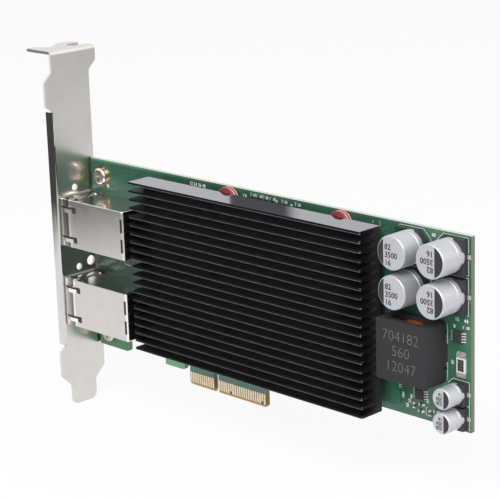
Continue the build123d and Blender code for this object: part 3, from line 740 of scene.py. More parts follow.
@dataclass(frozen=True)
class FoldedSheet(RolledSheet):
    """The bracket's sheet, smoother and darker on its stiffening flange.

    Args:
        flange: Y beyond which the flange and its fold lie.
        flange_zs: the heights between which it lies.
        flange_tone: the flange's colour.
        flange_matt: its roughness.
        core: X of both faces of the sheet, between which its sheared edges lie.
        core_dull: how much less metallic a sheared edge is.
        core_matt: how much rougher it is.
        smooth_zs: the heights between which the sheet turns from smooth to its full roughness.
        smooth: how rough it is below them, as a share of the full roughness.
    """

    flange: float = -14.6
    flange_zs: Span = (7.0, 86.3)
    flange_tone: Colour = (216, 214, 212)
    flange_matt: float = 0.05
    core: Span = (-58.0, -57.2)
    core_dull: float = 0.6
    core_matt: float = 0.3
    smooth_zs: Span = (64.0, 84.0)
    smooth: float = 0.66

    def paint(self, graph: Graph) -> None:
        """Draw the rolling lines, polish the flange and dull the sheared edges.

        Args:
            graph: the material's graph.
        """
        x, y, z = graph.xyz()
        lines, shade = self.roll(graph)
        flange = (y < self.flange) * z.between(*self.flange_zs)
        sheared = x.between(*self.core) * (1 - flange)
        rough = graph.spread(z, *self.smooth_zs, self.roughness * self.smooth, self.roughness)
        graph.surface(base_color=graph.mix(flange, self.tint(graph, shade), linear(self.flange_tone)),
                      metallic=self.metallic * (1 - sheared * self.core_dull),
                      roughness=rough * (1 - flange) + flange * self.flange_matt + sheared * self.core_matt)
        graph.bump(lines, self.relief)


@dataclass(frozen=True)
class PrintedCan(Finish):
    """A capacitor's aluminium can with the dark half-moon that marks one terminal.

    Args:
        x: X of the can's axis.
        z: Z of the can's axis.
        top_y: Y of the can's flat top.
        skin: how near to the top the print starts.
        radius: the can's radius.
        side: -1 or 1, the side along X on which the half-moon lies.
        chord: how far from the axis the half-moon's straight edge runs.
        rim: how far inside the can's outline the half-moon ends.
        print_colour: the half-moon's colour.
        line_size: how wide the lines are that drawing the can leaves.
        line_stretch: factors along X, Y and Z that draw them out along the can.
    """

    x: float = 0.0
    z: float = 0.0
    top_y: float = 0.0
    skin: float = 0.02
    radius: float = 5.0
    side: int = -1
    chord: float = 2.2
    rim: float = 0.45
    print_colour: Colour = (38, 38, 42)
    line_size: float = 0.16
    line_stretch: Triple = (1.0, 0.05, 1.0)

    def paint(self, graph: Graph) -> None:
        """Print the half-moon on the drawn aluminium.

        Args:
            graph: the material's graph.
        """
        x, y, z = graph.xyz((self.x, self.top_y, self.z))
        reach = (x * x + z * z).math("SQRT")
        moon = (x * self.side > self.chord) * (reach < self.radius - self.rim) * (abs(y) < self.skin)
        drawn = graph.noise(self.line_size, stretch=self.line_stretch)
        metal = self.tint(graph, graph.spread(drawn, *NOISE_SPAN))
        graph.surface(base_color=graph.mix(moon, metal, linear(self.print_colour)),
                      metallic=graph.spread(moon, *SHADE_SPAN, self.metallic, 0.0),
                      roughness=self.gloss(graph, drawn))
        graph.bump(drawn, self.relief)


@dataclass(frozen=True)
class WoundWire(Finish):
    """Red enamelled wire in rows round a drum, with a painted highlight along the crests of every other row and
    painted shade down between the turns.

    Args:
        x: X of the drum's axis, in millimetres.
        z: Z of the drum's axis.
        face: Y of the board's face.
        first: how far over the board the first row's middle lies.
        pitch: the distance between rows, and between layers.
        last: how far over the board the last row's middle lies.
        end_gap: how far over that the winding's end is seen instead of its rows.
        outer: the radius of the outer layer's middle.
        crest_highlight: the colour of the painted highlight along the crests.
        crest_half: half of the highlight's width on the crests.
        crest_depth: how far inside the outer layer's middle the crests stop.
        groove_shade: the colour of the painted shade down between the turns.
        groove_shade_span: how far from a turn's middle the painted shade sets in, and where it is full.
    """

    x: float = 0.0
    z: float = 65.0
    face: float = -0.785
    first: float = 0.6
    pitch: float = 0.54
    last: float = 2.22
    end_gap: float = 0.12
    outer: float = 3.7
    crest_highlight: Colour = (240, 208, 190)
    crest_half: float = 0.13
    crest_depth: float = 0.1
    groove_shade: Colour = (84, 18, 24)
    groove_shade_span: Span = (0.12, 0.2)

    def paint(self, graph: Graph) -> None:
        """Follow the turns with a painted highlight on the crests and painted shade in the grooves.

        Args:
            graph: the material's graph.
        """
        x, y, z = graph.xyz((self.x, self.face, self.z))
        reach = (x * x + z * z).math("SQRT")
        height = y * -1
        end = height > self.last + self.end_gap
        off_row = (height - self.first).repeat(self.pitch)
        every_other = (height - self.first).repeat(self.pitch * 2) < self.pitch / 2
        off_layer = (reach - self.outer).repeat(self.pitch)
        off = off_row * (1 - end) + off_layer * end
        patches = graph.noise(self.grain)
        red = self.tint(graph, graph.spread(patches, *NOISE_SPAN))
        # painted shade down between the turns, and between the layers on the end
        red = graph.mix(graph.spread(off, *self.groove_shade_span), red, linear(self.groove_shade))
        # painted highlight along the crests of every other row
        crest_highlight = (off < self.crest_half) * (1 - end) * every_other * (reach > self.outer - self.crest_depth)
        graph.surface(base_color=graph.mix(crest_highlight, red, linear(self.crest_highlight)), metallic=self.metallic,
                      roughness=self.gloss(graph, patches))


@dataclass(frozen=True)
class ClearResin(Finish):
    """Milky clear plastic of the light pipes.

    Args:
        clearness: how much light it lets through.
        bending: how strongly it bends light.
    """

    clearness: float = 0.6
    bending: float = 1.49

    def paint(self, graph: Graph) -> None:
        """Let light through, with faint flow clouds.

        Args:
            graph: the material's graph.
        """
        graph.surface(base_color=self.tint(graph, graph.clouds(self.grain)), roughness=self.roughness,
                      transmission_weight=self.clearness, ior=self.bending)


# Each finish: name, colour, accent, roughness, metallic, grain and relief, in this order.
GREEN_MASK = SolderMask("green_mask", (44, 84, 68), (52, 92, 76), 0.22, 0.0, 5.0, 0.012)
GOLD_PLATE = Finish("gold_plate", (240, 228, 206), (222, 204, 170), 0.34, 1.0, 1.4, 0.004)
RING_GOLD = Finish("ring_gold", (160, 132, 84), (118, 92, 54), 0.3, 1.0, 0.9, 0.01)
BRACKET_NICKEL = FoldedSheet("bracket_nickel", (212, 209, 205), (220, 217, 213), 0.37, 1.0, 1.0, 0.0015)
SCREW_NICKEL = Finish("screw_nickel", (236, 232, 226), (200, 194, 186), 0.16, 1.0, 0.8, 0.01)
BLACK_MOULDING = Finish("black_moulding", (38, 38, 41), (46, 46, 50), 0.5, 0.0, 0.6, 0.012)
LIGHT_PIPE = ClearResin("light_pipe", (226, 230, 226), (212, 218, 214), 0.25)
BLACK_ANODISED = Anodised("sink_anodising", (15, 15, 17), (19, 19, 21), 0.3, 0.0, 6.0, 0.0015)
SILICONE_PAD = Finish("silicone_pad", (150, 160, 172), (132, 142, 156), 0.8, 0.0, 0.8, 0.02)
CHIP_EPOXY = Finish("chip_epoxy", (40, 40, 43), (50, 50, 53), 0.6, 0.0, 0.5, 0.008)
DRUM_FERRITE = Finish("drum_ferrite", (50, 50, 54), (62, 62, 66), 0.6, 0.0, 0.8, 0.02)
INDUCTOR_FERRITE = Finish("inductor_ferrite", (34, 34, 37), (42, 42, 45), 0.8, 0.0, 0.5, 0.02)
COIL_COPPER = Finish("coil_copper", (248, 134, 66), (222, 104, 50), 0.25, 0.6, 1.2, 0.006)
CHIP_TIN = Finish("chip_tin", (232, 230, 226), (208, 206, 202), 0.35, 0.5, 0.4, 0.01)
DIPPED_TIN = Finish("dipped_tin", (206, 201, 192), (142, 138, 130), 0.45, 0.5, 0.7, 0.03)
BRIGHT_TIN = Finish("bright_tin", (206, 204, 198), (170, 168, 162), 0.3, 1.0, 0.4, 0.01)
WHITE_ALUMINA = Finish("white_alumina", (226, 226, 222), (212, 212, 208), 0.55, 0.0, 0.6, 0.006)
BROWN_CERAMIC = Finish("brown_ceramic", (104, 96, 84), (90, 82, 72), 0.5, 0.0, 0.4, 0.004)
RESISTOR_GLAZE = Finish("resistor_glass", (34, 34, 40), (46, 46, 52), 0.3, 0.0, 0.4, 0.002)
WHITE_INK = Finish("white_ink", (232, 236, 230), (214, 220, 212), 0.6, 0.0, 0.4, 0.002)
FAINT_INK = Finish("faint_ink", (92, 126, 108), (82, 116, 98), 0.5, 0.0, 0.4, 0.002)
BLACK_INK = Finish("black_ink", (30, 30, 34), (42, 42, 46), 0.5, 0.0, 0.4, 0.002)
LASER_MARK = Finish("laser_mark", (124, 122, 118), (106, 104, 100), 0.7, 0.0, 0.3, 0.002)


def dress(nodes: Iterable[str], finish: Finish) -> None:
    """Give CAD nodes a finish, with their meshes left alone.

    Args:
        nodes: the nodes' names.
        finish: what they are finished in.
    """
    for name in nodes:
        mesh = bpy.data.objects[name].data
        mesh.materials.clear()
        mesh.materials.append(finish.material())
        log.info("%s: dressed in %s", name, finish.name)


def deselect_all() -> None:
    """Leave object mode's selection empty."""
    bpy.ops.object.select_all(action="DESELECT")


def pick(piece: bpy.types.Object) -> None:
    """Make a piece the only one selected, and the active one.

    Args:
        piece: the piece.
    """
    deselect_all()
    piece.select_set(True)
    bpy.context.view_layer.objects.active = piece


def clear_mesh(piece: bpy.types.Object, kind: str) -> None:
    """Pick a piece and leave nothing of its mesh selected.

    Args:
        piece: the piece.
        kind: what is selected next, VERT or FACE.
    """
    pick(piece)
    bpy.ops.object.mode_set(mode="EDIT")
    bpy.ops.mesh.select_mode(type=kind)
    bpy.ops.mesh.select_all(action="DESELECT")
    bpy.ops.object.mode_set(mode="OBJECT")


def shift_points(piece: bpy.types.Object, test: Callable[[Vector], bool], by: Triple) -> None:
    """Move some of a piece's points.

    Args:
        piece: the piece.
        test: says from a point's place, in millimetres, whether it moves.
        by: how far, in millimetres.
    """
    clear_mesh(piece, "VERT")
    for point in piece.data.vertices:
        point.select = test(point.co / MM)
    bpy.ops.object.mode_set(mode="EDIT")
    bpy.ops.transform.translate(value=Vector(by) * MM)
    bpy.ops.object.mode_set(mode="OBJECT")


def inset_top(piece: bpy.types.Object, margin: float, rise: float = 0.0) -> None:
    """Draw a smaller face into a piece's top, and raise or sink it.

    Args:
        piece: the piece.
        margin: how wide the rim round the smaller face is.
        rise: how far that face is raised, or below 0 how far it is sunk.
    """
    clear_mesh(piece, "FACE")
    for face in piece.data.polygons:
        face.select = face.normal.z > UPWARD
    bpy.ops.object.mode_set(mode="EDIT")
    bpy.ops.mesh.inset(thickness=margin * MM)
    if rise:
        bpy.ops.mesh.extrude_region_move(TRANSFORM_OT_translate={"value": (0.0, 0.0, rise * MM)})
    bpy.ops.object.mode_set(mode="OBJECT")


def settle(piece: bpy.types.Object, place: Matrix) -> bpy.types.Object:
    """Put a piece in its place and keep that place in its mesh.

    Args:
        piece: the piece.
        place: the matrix that takes it there.

    Returns:
        The same piece.
    """
    pick(piece)
    piece.matrix_world = place
    bpy.ops.object.transform_apply(location=True, rotation=True, scale=True)
    return piece


def repeat(piece: bpy.types.Object, places: Iterable[Matrix]) -> list[bpy.types.Object]:
    """Copy a piece to every place, each copy with its own mesh, and remove the pattern piece.

    Args:
        piece: the pattern piece.
        places: the matrices that take the copies to their places.

    Returns:
        The copies.
    """
    copies = []
    for place in places:
        copy = piece.copy()
        copy.data = piece.data.copy()
        bpy.context.collection.objects.link(copy)
        copies.append(settle(copy, place))
    bpy.data.objects.remove(piece)
    return copies


def finish_piece(parts: Sequence[bpy.types.Object], name: str, finish: Finish) -> bpy.types.Object:
    """Join parts into one named piece that rides on the card and has its finish.

    Args:
        parts: the parts, settled in their places.
        name: the piece's name.
        finish: what it is finished in.

    Returns:
        The piece.
    """
    pick(parts[0])
    for part in parts:
        part.select_set(True)
    if len(parts) > 1:
        bpy.ops.object.join()
    piece = parts[0]
    piece.name = name
    piece.data.name = name
    piece.data.materials.clear()
    piece.data.materials.append(finish.material())
    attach(piece, BODY)
    log.info("%s: %d faces", name, len(piece.data.polygons))
    return piece


def on_face(x: float, z: float, height: float = 0.0, side: Side = Side.COMPONENT, turn: float = 0.0) -> Matrix:
    """Return the place of something that lies on the board.

    Args:
        x: its X, in millimetres.
        z: its Z.
        height: how far over the board's face it lies.
        side: the face it lies on.
        turn: its turn on the face in degrees, anticlockwise as seen from outside.

    Returns:
        The matrix that takes a piece drawn in X and Y, facing Z, to that place.
    """
    half = CircuitBoard.thickness / 2
    flip = Matrix.Rotation(math.pi, 4, "Z") if side is Side.SOLDER else Matrix.Identity(4)
    lay = Matrix.Rotation(math.pi / 2, 4, "X") @ Matrix.Rotation(math.radians(turn), 4, "Z")
    return Matrix.Translation(Vector((x, side.value * (half + height), z)) * MM) @ flip @ lay


def turn_to(way: int, side: Side) -> float:
    """Return the turn in degrees that points a piece drawn along +X to -X or +X, as way says, on a face."""
    return 0.0 if way * -side.value > 0 else 180.0


def number(text: str, size: float, place: Matrix, thin: float = 0.0, align: str = "CENTER") -> bpy.types.Object:
    """Make a plain number as a thin raised print.

    Args:
        text: the digits.
        size: the height of the letters' body, in millimetres.
        place: where it goes, from on_face.
        thin: how much is taken off its strokes, or below 0 how much they gain.
        align: which part of it stands on the place.

    Returns:
        The mesh.
    """
    deselect_all()
    bpy.ops.object.text_add()
    mark = bpy.context.object
    mark.data.body = text
    mark.data.size = size * MM
    mark.data.align_x = align
    mark.data.align_y = "CENTER"
    mark.data.extrude = PRINT_HEIGHT * MM
    mark.data.offset = -thin * MM
    mark.data.resolution_u = DIGIT_STEPS
    bpy.ops.object.convert(target="MESH")
    return settle(bpy.context.object, place)


def stroke(start: Spot, end: Spot, width: float, side: Side) -> bpy.types.Object:
    """Print one straight line with round ends on the board.

    Args:
        start: X and Z where it starts.
        end: X and Z where it ends.
        width: its width.
        side: the face it is printed on.

    Returns:
        The mesh.
    """
    run = Vector((end[0] - start[0], end[1] - start[1]))
    deselect_all()
    bpy.ops.mesh.primitive_cylinder_add(vertices=LINE_SIDES, radius=width / 2 * MM, depth=2 * PRINT_HEIGHT * MM)
    line = bpy.context.object
    shift_points(line, lambda point: point.x > 0.001 * width, (run.length, 0.0, 0.0))
    turn = math.degrees(math.atan2(run.y, run.x * -side.value))
    return settle(line, on_face(start[0], start[1], 0.0, side, turn))


def print_all(lines: Iterable[Line], width: float, side: Side) -> list[bpy.types.Object]:
    """Print lines that each run through several points.

    Args:
        lines: X and Z of each line's points.
        width: how wide the lines are.
        side: the face they are printed on.

    Returns:
        The strokes.
    """
    return [stroke(start, end, width, side) for line in lines for start, end in zip(line, line[1:])]


@dataclass(frozen=True)
class SolderWedge:
    """A fillet of solder that climbs from a pad up to a part's end, drawn along +X.

    Args:
        length: how far it reaches out over the pad.
        width: its width.
        height: how high it climbs.
        drops: which points are lowered to hollow it: the shares of the length between which they lie, those
            of the height, and how far they drop as a share of the height.
    """

    length: float
    width: float
    height: float
    drops: tuple[tuple[Span, Span, float], ...] = (
        ((0.9, 1.1), (0.9, 1.1), 2.7 / 3), ((0.9, 1.1), (0.5, 0.8), 1.75 / 3),
        ((0.5, 0.8), (0.9, 1.1), 1.9 / 3), ((0.2, 0.5), (0.9, 1.1), 1.1 / 3))

    def shape(self) -> bpy.types.Object:
        """Model the fillet.

        Returns:
            The mesh.
        """
        deselect_all()
        bpy.ops.mesh.primitive_cube_add(size=MM, location=(self.length / 2 * MM, 0.0, self.height / 2 * MM),
                                        scale=(self.length, self.width, self.height))
        wedge = bpy.context.object
        bpy.ops.object.transform_apply(location=True, rotation=True, scale=True)
        bpy.ops.object.mode_set(mode="EDIT")
        bpy.ops.mesh.select_all(action="SELECT")
        bpy.ops.mesh.subdivide(number_cuts=2)
        bpy.ops.object.mode_set(mode="OBJECT")
        for (x0, x1), (z0, z1), drop in self.drops:
            shift_points(wedge, lambda point: x0 < point.x / self.length < x1 and z0 < point.z / self.height < z1,
                         (0.0, 0.0, -drop * self.height))
        return wedge


@dataclass(frozen=True)
class Eyelet:
    """A flat round piece of metal on the board, with its middle sunk or raised.

    Args:
        radius: its radius.
        depth: how thick it is.
        margin: how wide the rim round the middle is.
        rise: how far the middle stands over the rim, or below 0 how far it is sunk.
        sides: how many sides it is drawn with.
        lift: how far over the board's face the middle of its thickness lies.
    """

    radius: float
    depth: float
    margin: float
    rise: float
    sides: int
    lift: float = 0.01

    def lay(self, spots: Iterable[Spot], side: Side) -> list[bpy.types.Object]:
        """Model the piece and lay copies of it on the board.

        Args:
            spots: X and Z of the copies.
            side: the face that they lie on.

        Returns:
            The copies.
        """
        deselect_all()
        bpy.ops.mesh.primitive_cylinder_add(vertices=self.sides, radius=self.radius * MM, depth=self.depth * MM)
        disc = bpy.context.object
        inset_top(disc, self.margin, self.rise)
        return repeat(disc, [on_face(x, z, self.lift, side) for x, z in spots])


@dataclass(frozen=True)
class ViaRow:
    """A row of vias at even steps.

    Args:
        start: X and Z of the first one.
        step: how far along X and Z the next one lies.
        count: how many there are.
        stagger: how far along X and Z each is moved from the one before, within a cycle.
        cycle: after how many vias the stagger starts again.
    """

    start: Spot
    step: Spot
    count: int
    stagger: Spot = (0.0, 0.0)
    cycle: int = 1

    def spots(self) -> list[Spot]:
        """Return X and Z of each via."""
        return [(self.start[0] + self.step[0] * i + self.stagger[0] * (i % self.cycle),
                 self.start[1] + self.step[1] * i + self.stagger[1] * (i % self.cycle)) for i in range(self.count)]


class SubAssembly(Protocol):
    """One sub-assembly of the card, or what stands round it."""

    def build(self) -> None:
        """Build its pieces and dress them."""


@dataclass
class CircuitBoard:
    """The bare board with its contacts, prints, vias and pads.

    Args:
        thickness: how thick it is.
        line_w: how wide the printed lines are.
        cap_columns: X of both columns of large capacitors.
        cap_rows: Z of their two rows.
        cap_reach: how far a large capacitor's printed outline lies from its axis.
        cap_side_reach: how far it lies on the side of the cut corners.
        cap_corner: how much of its corners is cut.
        foot_gap: half of the gap in it where a foot crosses.
        front_lines: X and Z of the points of the other lines on the component side.
        tick_xs: X of the chip parts that have a printed tick beside them.
        tick_off: how far along X a tick stands from its part.
        tick_zs: Z of both ends of a tick.
        ring: X and Z of the middle of the faint printed ring.
        ring_radius: its radius.
        ring_start: the angle in degrees at which it starts.
        ring_step: how far each of its strokes turns.
        ring_strokes: how many strokes it has.
        jack_zs: Z of the middles of the jacks' outlines on the solder side.
        jack_xs: X of both ends of them.
        jack_half: half of their height.
        chip_areas: (x0, x1, z0, z1) of the outlines round the memory chip and behind the controller.
        foot_mark: half of the length of the mark behind each large capacitor.
        back_lines: X and Z of the points of the other lines on the solder side.
        front_numbers: text, X, Z, size and turn of each number on the component side.
        front_thin: how much is taken off the strokes of those.
        back_numbers: text, X, Z and size of each number on the solder side.
        via: the open vias.
        via_spots: X and Z of the single ones.
        via_row: the staggered row over the tongue.
        back_rows: the rows that show on the solder side only.
        grid_centre: X and Z of the middle of the grid of vias behind the controller.
        grid_pitch: the distance between its vias.
        grid_steps: the places along each side of it that have one, counted from its middle.
        pad: the tinned pad by the upper jack.
        pad_spot: X and Z of that pad.
    """

    thickness: float = 1.57
    line_w: float = 0.16
    cap_columns: Span = (82.4, 96.15)
    cap_rows: Span = (51.45, 62.9)
    cap_reach: float = 5.35
    cap_side_reach: float = 5.97
    cap_corner: float = 2.55
    foot_gap: float = 1.0
    front_lines: tuple[Line, ...] = (
        ((94.28, 25.1), (96.0, 26.85), (101.95, 26.8), (101.95, 23.9)),
        ((101.95, 22.4), (101.95, 19.6), (95.0, 19.6)),
        ((101.95, 19.6), (101.95, 16.7)), ((101.95, 15.2), (101.95, 12.6)),
        ((94.15, 25.9), (94.15, 31.2)), ((94.15, 36.7), (94.15, 42.2)),
        ((86.8, 15.9), (86.3, 15.9), (86.3, 13.6), (86.8, 13.6)),
        ((68.5, 63.6), (68.5, 62.1)), ((69.78, 67.9), (69.78, 66.4)), ((67.15, 67.6), (67.15, 66.9)),
        ((-33.4, 38.6), (-33.4, 35.2), (-27.0, 35.2)), ((-41.6, 36.6), (-41.6, 34.9), (-34.4, 34.9)))
    tick_xs: tuple[float, ...] = (19.4, 24.6, 32.5, 37.9)
    tick_off: float = -1.25
    tick_zs: Span = (67.3, 68.2)
    ring: Spot = (71.95, 65.5)
    ring_radius: float = 0.95
    ring_start: float = 20.0
    ring_step: float = 32.0
    ring_strokes: int = 10
    jack_zs: Span = (49.7, 22.55)
    jack_xs: Span = (-56.0, -25.6)
    jack_half: float = 8.6
    chip_areas: tuple[Area, ...] = ((37.2, 42.8, 54.6, 61.4), (19.0, 35.0, 32.0, 48.0))
    foot_mark: float = 1.1
    back_lines: tuple[Line, ...] = (
        ((76.0, 26.0), (76.0, 23.4), (78.6, 23.4)), ((93.0, 42.0), (93.0, 44.6), (90.4, 44.6)))
    front_numbers: tuple[tuple[str, float, float, float, float], ...] = (
        ("12 24 36 48", -5.2, 67.2, 1.5, 0.0), ("7 8", 15.6, 66.9, 1.2, 0.0), ("35", 28.9, 67.3, 1.1, 0.0),
        ("41", 35.2, 67.0, 1.1, 0.0), ("60", 89.35, 67.1, 1.4, 0.0), ("12", 97.5, 44.5, 1.4, 0.0),
        ("8", 96.6, 42.2, 1.4, 0.0), ("44", 100.7, 44.4, 1.5, 0.0), ("47", 96.0, 31.6, 1.3, 90.0),
        ("104", 77.9, 17.6, 1.3, 90.0), ("71", 76.9, 20.2, 1.3, 90.0), ("35", 80.3, 16.4, 1.3, 90.0),
        ("90", 81.0, 17.9, 1.3, 90.0), ("62", 79.4, 14.9, 1.3, 90.0), ("53", 86.9, 17.9, 1.3, 90.0))
    front_thin: float = -0.04
    back_numbers: tuple[tuple[str, float, float, float], ...] = (
        ("1", -40.5, 60.2, 2.0), ("2", -40.5, 33.2, 2.0), ("16", 27.0, 50.0, 1.8), ("33", 45.6, 58.0, 1.6),
        ("27", 82.4, 57.2, 1.6), ("28", 96.2, 57.2, 1.6), ("50", 84.5, 33.9, 1.8))
    via: Eyelet = Eyelet(0.42, 0.05, 0.2, -0.035, 12)
    via_spots: tuple[Spot, ...] = (
        (-40.1, 35.9), (-37.6, 36.4), (92.6, 44.4), (93.4, 40.0), (93.6, 29.2), (78.4, 22.3), (89.3, 21.0),
        (91.2, 18.4), (76.2, 44.2), (90.0, 45.0))
    via_row: ViaRow = ViaRow((-10.0, 9.1), (4.0, 0.0), 8, (0.0, 0.8), 2)
    back_rows: tuple[ViaRow, ...] = (
        ViaRow((-16.0, 21.0), (3.2, 0.0), 10, (0.0, 2.1), 4), ViaRow((77.5, 26.2), (2.4, 0.0), 7),
        ViaRow((77.5, 41.6), (2.4, 0.0), 7), ViaRow((-14.0, 66.9), (6.0, 0.0), 19),
        ViaRow((100.9, 12.0), (0.0, 6.0), 9), ViaRow((-21.5, 18.0), (0.0, 3.1), 12, (1.7, 0.0), 2))
    grid_centre: Spot = (27.0, 40.0)
    grid_pitch: float = 5.1
    grid_steps: tuple[int, ...] = (-2, -1, 1, 2)
    pad: Eyelet = Eyelet(0.6, 0.04, 0.12, 0.05, 14)
    pad_spot: Spot = (-48.2, 60.4)

    def build(self) -> None:
        """Dress the CAD pieces, then print and plate the board."""
        dress(["board"], GREEN_MASK)
        dress(["edge_contacts_front", "edge_contacts_back"], GOLD_PLATE)
        dress(["plated_rings"], RING_GOLD)
        self.print_front()
        self.print_back()
        self.add_vias()

    def capacitor_outline(self, x: float, z: float, side: int) -> list[Line]:
        """Return the printed outline of a large capacitor, open where its feet cross it.

        Args:
            x: X of the capacitor.
            z: Z of the capacitor.
            side: 1 where its cut corners face +X, or -1.

        Returns:
            Two lines, over and under the feet.
        """
        near, far = x - side * self.cap_reach, x + side * self.cap_side_reach
        cut, top = x + side * (self.cap_side_reach - self.cap_corner), z + self.cap_reach
        half = [(near, z + self.foot_gap), (near, top), (cut, top), (far, top - self.cap_corner),
                (far, z + self.foot_gap)]
        return [half, [(px, 2 * z - pz) for px, pz in half]]

    def print_front(self) -> None:
        """Print the white lines, the faint ring and the numbers on the component side."""
        lines: list[Line] = []
        for x, side in zip(self.cap_columns, (1, -1)):
            for z in self.cap_rows:
                lines += self.capacitor_outline(x, z, side)
        lines += self.front_lines
        lines += [[(x + self.tick_off, z) for z in self.tick_zs] for x in self.tick_xs]
        angles = [math.radians(self.ring_start + self.ring_step * i) for i in range(self.ring_strokes + 1)]
        ring = [(self.ring[0] + self.ring_radius * math.cos(a), self.ring[1] + self.ring_radius * math.sin(a))
                for a in angles]
        face = Side.COMPONENT
        finish_piece(print_all([ring], self.line_w, face), "board_faint_ring", FAINT_INK)
        finish_piece(print_all(lines, self.line_w, face), "board_front_lines", WHITE_INK)
        numbers = [number(text, size, on_face(x, z, 0.0, face, turn), self.front_thin)
                   for text, x, z, size, turn in self.front_numbers]
        finish_piece(numbers, "board_front_numbers", WHITE_INK)

    def print_back(self) -> None:
        """Print the white lines and the numbers on the solder side."""
        left, right = self.jack_xs
        lines: list[Line] = []
        for z in self.jack_zs:
            low, high = z - self.jack_half, z + self.jack_half
            lines.append([(left, low), (right, low), (right, high), (left, high)])
        for x0, x1, z0, z1 in self.chip_areas:
            lines.append([(x0, z0), (x1, z0), (x1, z1), (x0, z1), (x0, z0)])
        lines += [[(x - self.foot_mark, z), (x + self.foot_mark, z)] for x in self.cap_columns for z in self.cap_rows]
        lines += self.back_lines
        face = Side.SOLDER
        finish_piece(print_all(lines, self.line_w, face), "board_back_lines", WHITE_INK)
        numbers = [number(text, size, on_face(x, z, 0.0, face)) for text, x, z, size in self.back_numbers]
        finish_piece(numbers, "board_back_numbers", WHITE_INK)

    def add_vias(self) -> None:
        """Add the open vias on both faces, and the tinned pad."""
        through = [*self.via_spots, *self.via_row.spots()]
        for side, extra in ((Side.COMPONENT, []), (Side.SOLDER, self.back_via_spots())):
            vias = self.via.lay(through + extra, side)
            finish_piece(vias, f"board_vias_{side.name.lower()}", RING_GOLD)
        finish_piece(self.pad.lay([self.pad_spot], Side.COMPONENT), "board_tinned_pad", CHIP_TIN)

    def back_via_spots(self) -> list[Spot]:
        """Find the vias that show on the solder side only.

        Returns:
            X and Z of each.
        """
        grid = [(self.grid_centre[0] + self.grid_pitch * i, self.grid_centre[1] + self.grid_pitch * j)
                for i in self.grid_steps for j in self.grid_steps]
        return grid + [spot for row in self.back_rows for spot in row.spots()]


@dataclass
class MountingBracket:
    """The folded bracket and its two screws."""

    def build(self) -> None:
        """Dress the sheet and the screws."""
        dress(["bracket"], BRACKET_NICKEL)
        dress(["bracket_screws"], SCREW_NICKEL)


@dataclass
class ShieldedJack:
    """One network jack.

    Args:
        side: upper or lower.
        z: the height of its middle.
        pin_xs: X of both rows of pins.
        pin_count: how many pins a row has.
        pin_pitch: how far apart they are.
        leg_x: X of the shield's two legs.
        leg_reach: how far over and under the middle they are.
        cone_sides: how many sides a cone of solder is drawn with.
        cone_base: its radius on the board.
        cone_tip: its radius round the pin.
        cone_height: how high it climbs.
        cone_rim: how wide the rim of its tip is.
        cone_sink: how deep it starts below the board's face.
    """

    side: str
    z: float
    pin_xs: Span = (-38.65, -29.15)
    pin_count: int = 5
    pin_pitch: float = 2.54
    leg_x: float = -34.65
    leg_reach: float = 7.875
    cone_sides: int = 14
    cone_base: float = 0.8
    cone_tip: float = 0.34
    cone_height: float = 0.7
    cone_rim: float = 0.06
    cone_sink: float = 0.01

    def build(self) -> None:
        """Dress the shield and what it holds, and solder its pins."""
        shield = StampedShield(f"shield_nickel_{self.side}", (210, 207, 203), (218, 215, 211), 0.2, 1.0, 0.8,
                               0.0004, along=(0.03, 1.0, 1.0), z=self.z)
        dress([f"jack_{self.side}_shield"], shield)
        dress([f"jack_{self.side}_housing", f"jack_{self.side}_magnetics"], BLACK_MOULDING)
        dress([f"jack_{self.side}_light_pipes"], LIGHT_PIPE)
        dress([f"jack_{self.side}_contacts"], GOLD_PLATE)
        self.solder_pins()

    def solder_pins(self) -> None:
        """Put a cone of solder round each pin and leg behind the board."""
        deselect_all()
        bpy.ops.mesh.primitive_cone_add(vertices=self.cone_sides, radius1=self.cone_base * MM,
                                        radius2=self.cone_tip * MM, depth=self.cone_height * MM,
                                        location=(0.0, 0.0, self.cone_height / 2 * MM))
        cone = bpy.context.object
        bpy.ops.object.transform_apply(location=True, rotation=True, scale=True)
        inset_top(cone, self.cone_rim)
        shift_points(cone, lambda point: point.z < self.cone_sink, (0.0, 0.0, -self.cone_sink))
        middle = (self.pin_count - 1) / 2
        spots = [(x, self.z + (i - middle) * self.pin_pitch) for x in self.pin_xs for i in range(self.pin_count)]
        spots += [(self.leg_x, self.z - self.leg_reach), (self.leg_x, self.z + self.leg_reach)]
        cones = repeat(cone, [on_face(x, z, 0.0, Side.SOLDER) for x, z in spots])
        finish_piece(cones, f"jack_{self.side}_solder", BRIGHT_TIN)


@dataclass
class FinnedHeatsink:
    """The black extrusion, what holds it, and the controller under it."""

    def build(self) -> None:
        """Dress the heatsink and the parts between it and the board."""
        dress(["heatsink"], BLACK_ANODISED)
        dress(["heatsink_studs", "heatsink_screws"], SCREW_NICKEL)
        dress(["controller_chip"], CHIP_EPOXY)
        dress(["thermal_pad"], SILICONE_PAD)


@dataclass
class DrumChoke:
    """A choke whose red wire is wound in layers round a drum core.

    Args:
        count: 1 or 2, from the bracket.
        x: X of its axis.
    """

    count: int
    x: float

    def build(self) -> None:
        """Dress the core and the wire."""
        dress([f"choke_{self.count}_core"], DRUM_FERRITE)
        wire = WoundWire(f"red_enamel_{self.count}", (160, 52, 56), (182, 76, 76), 0.3, 0.0, 0.5, x=self.x)
        dress([f"choke_{self.count}_winding"], wire)


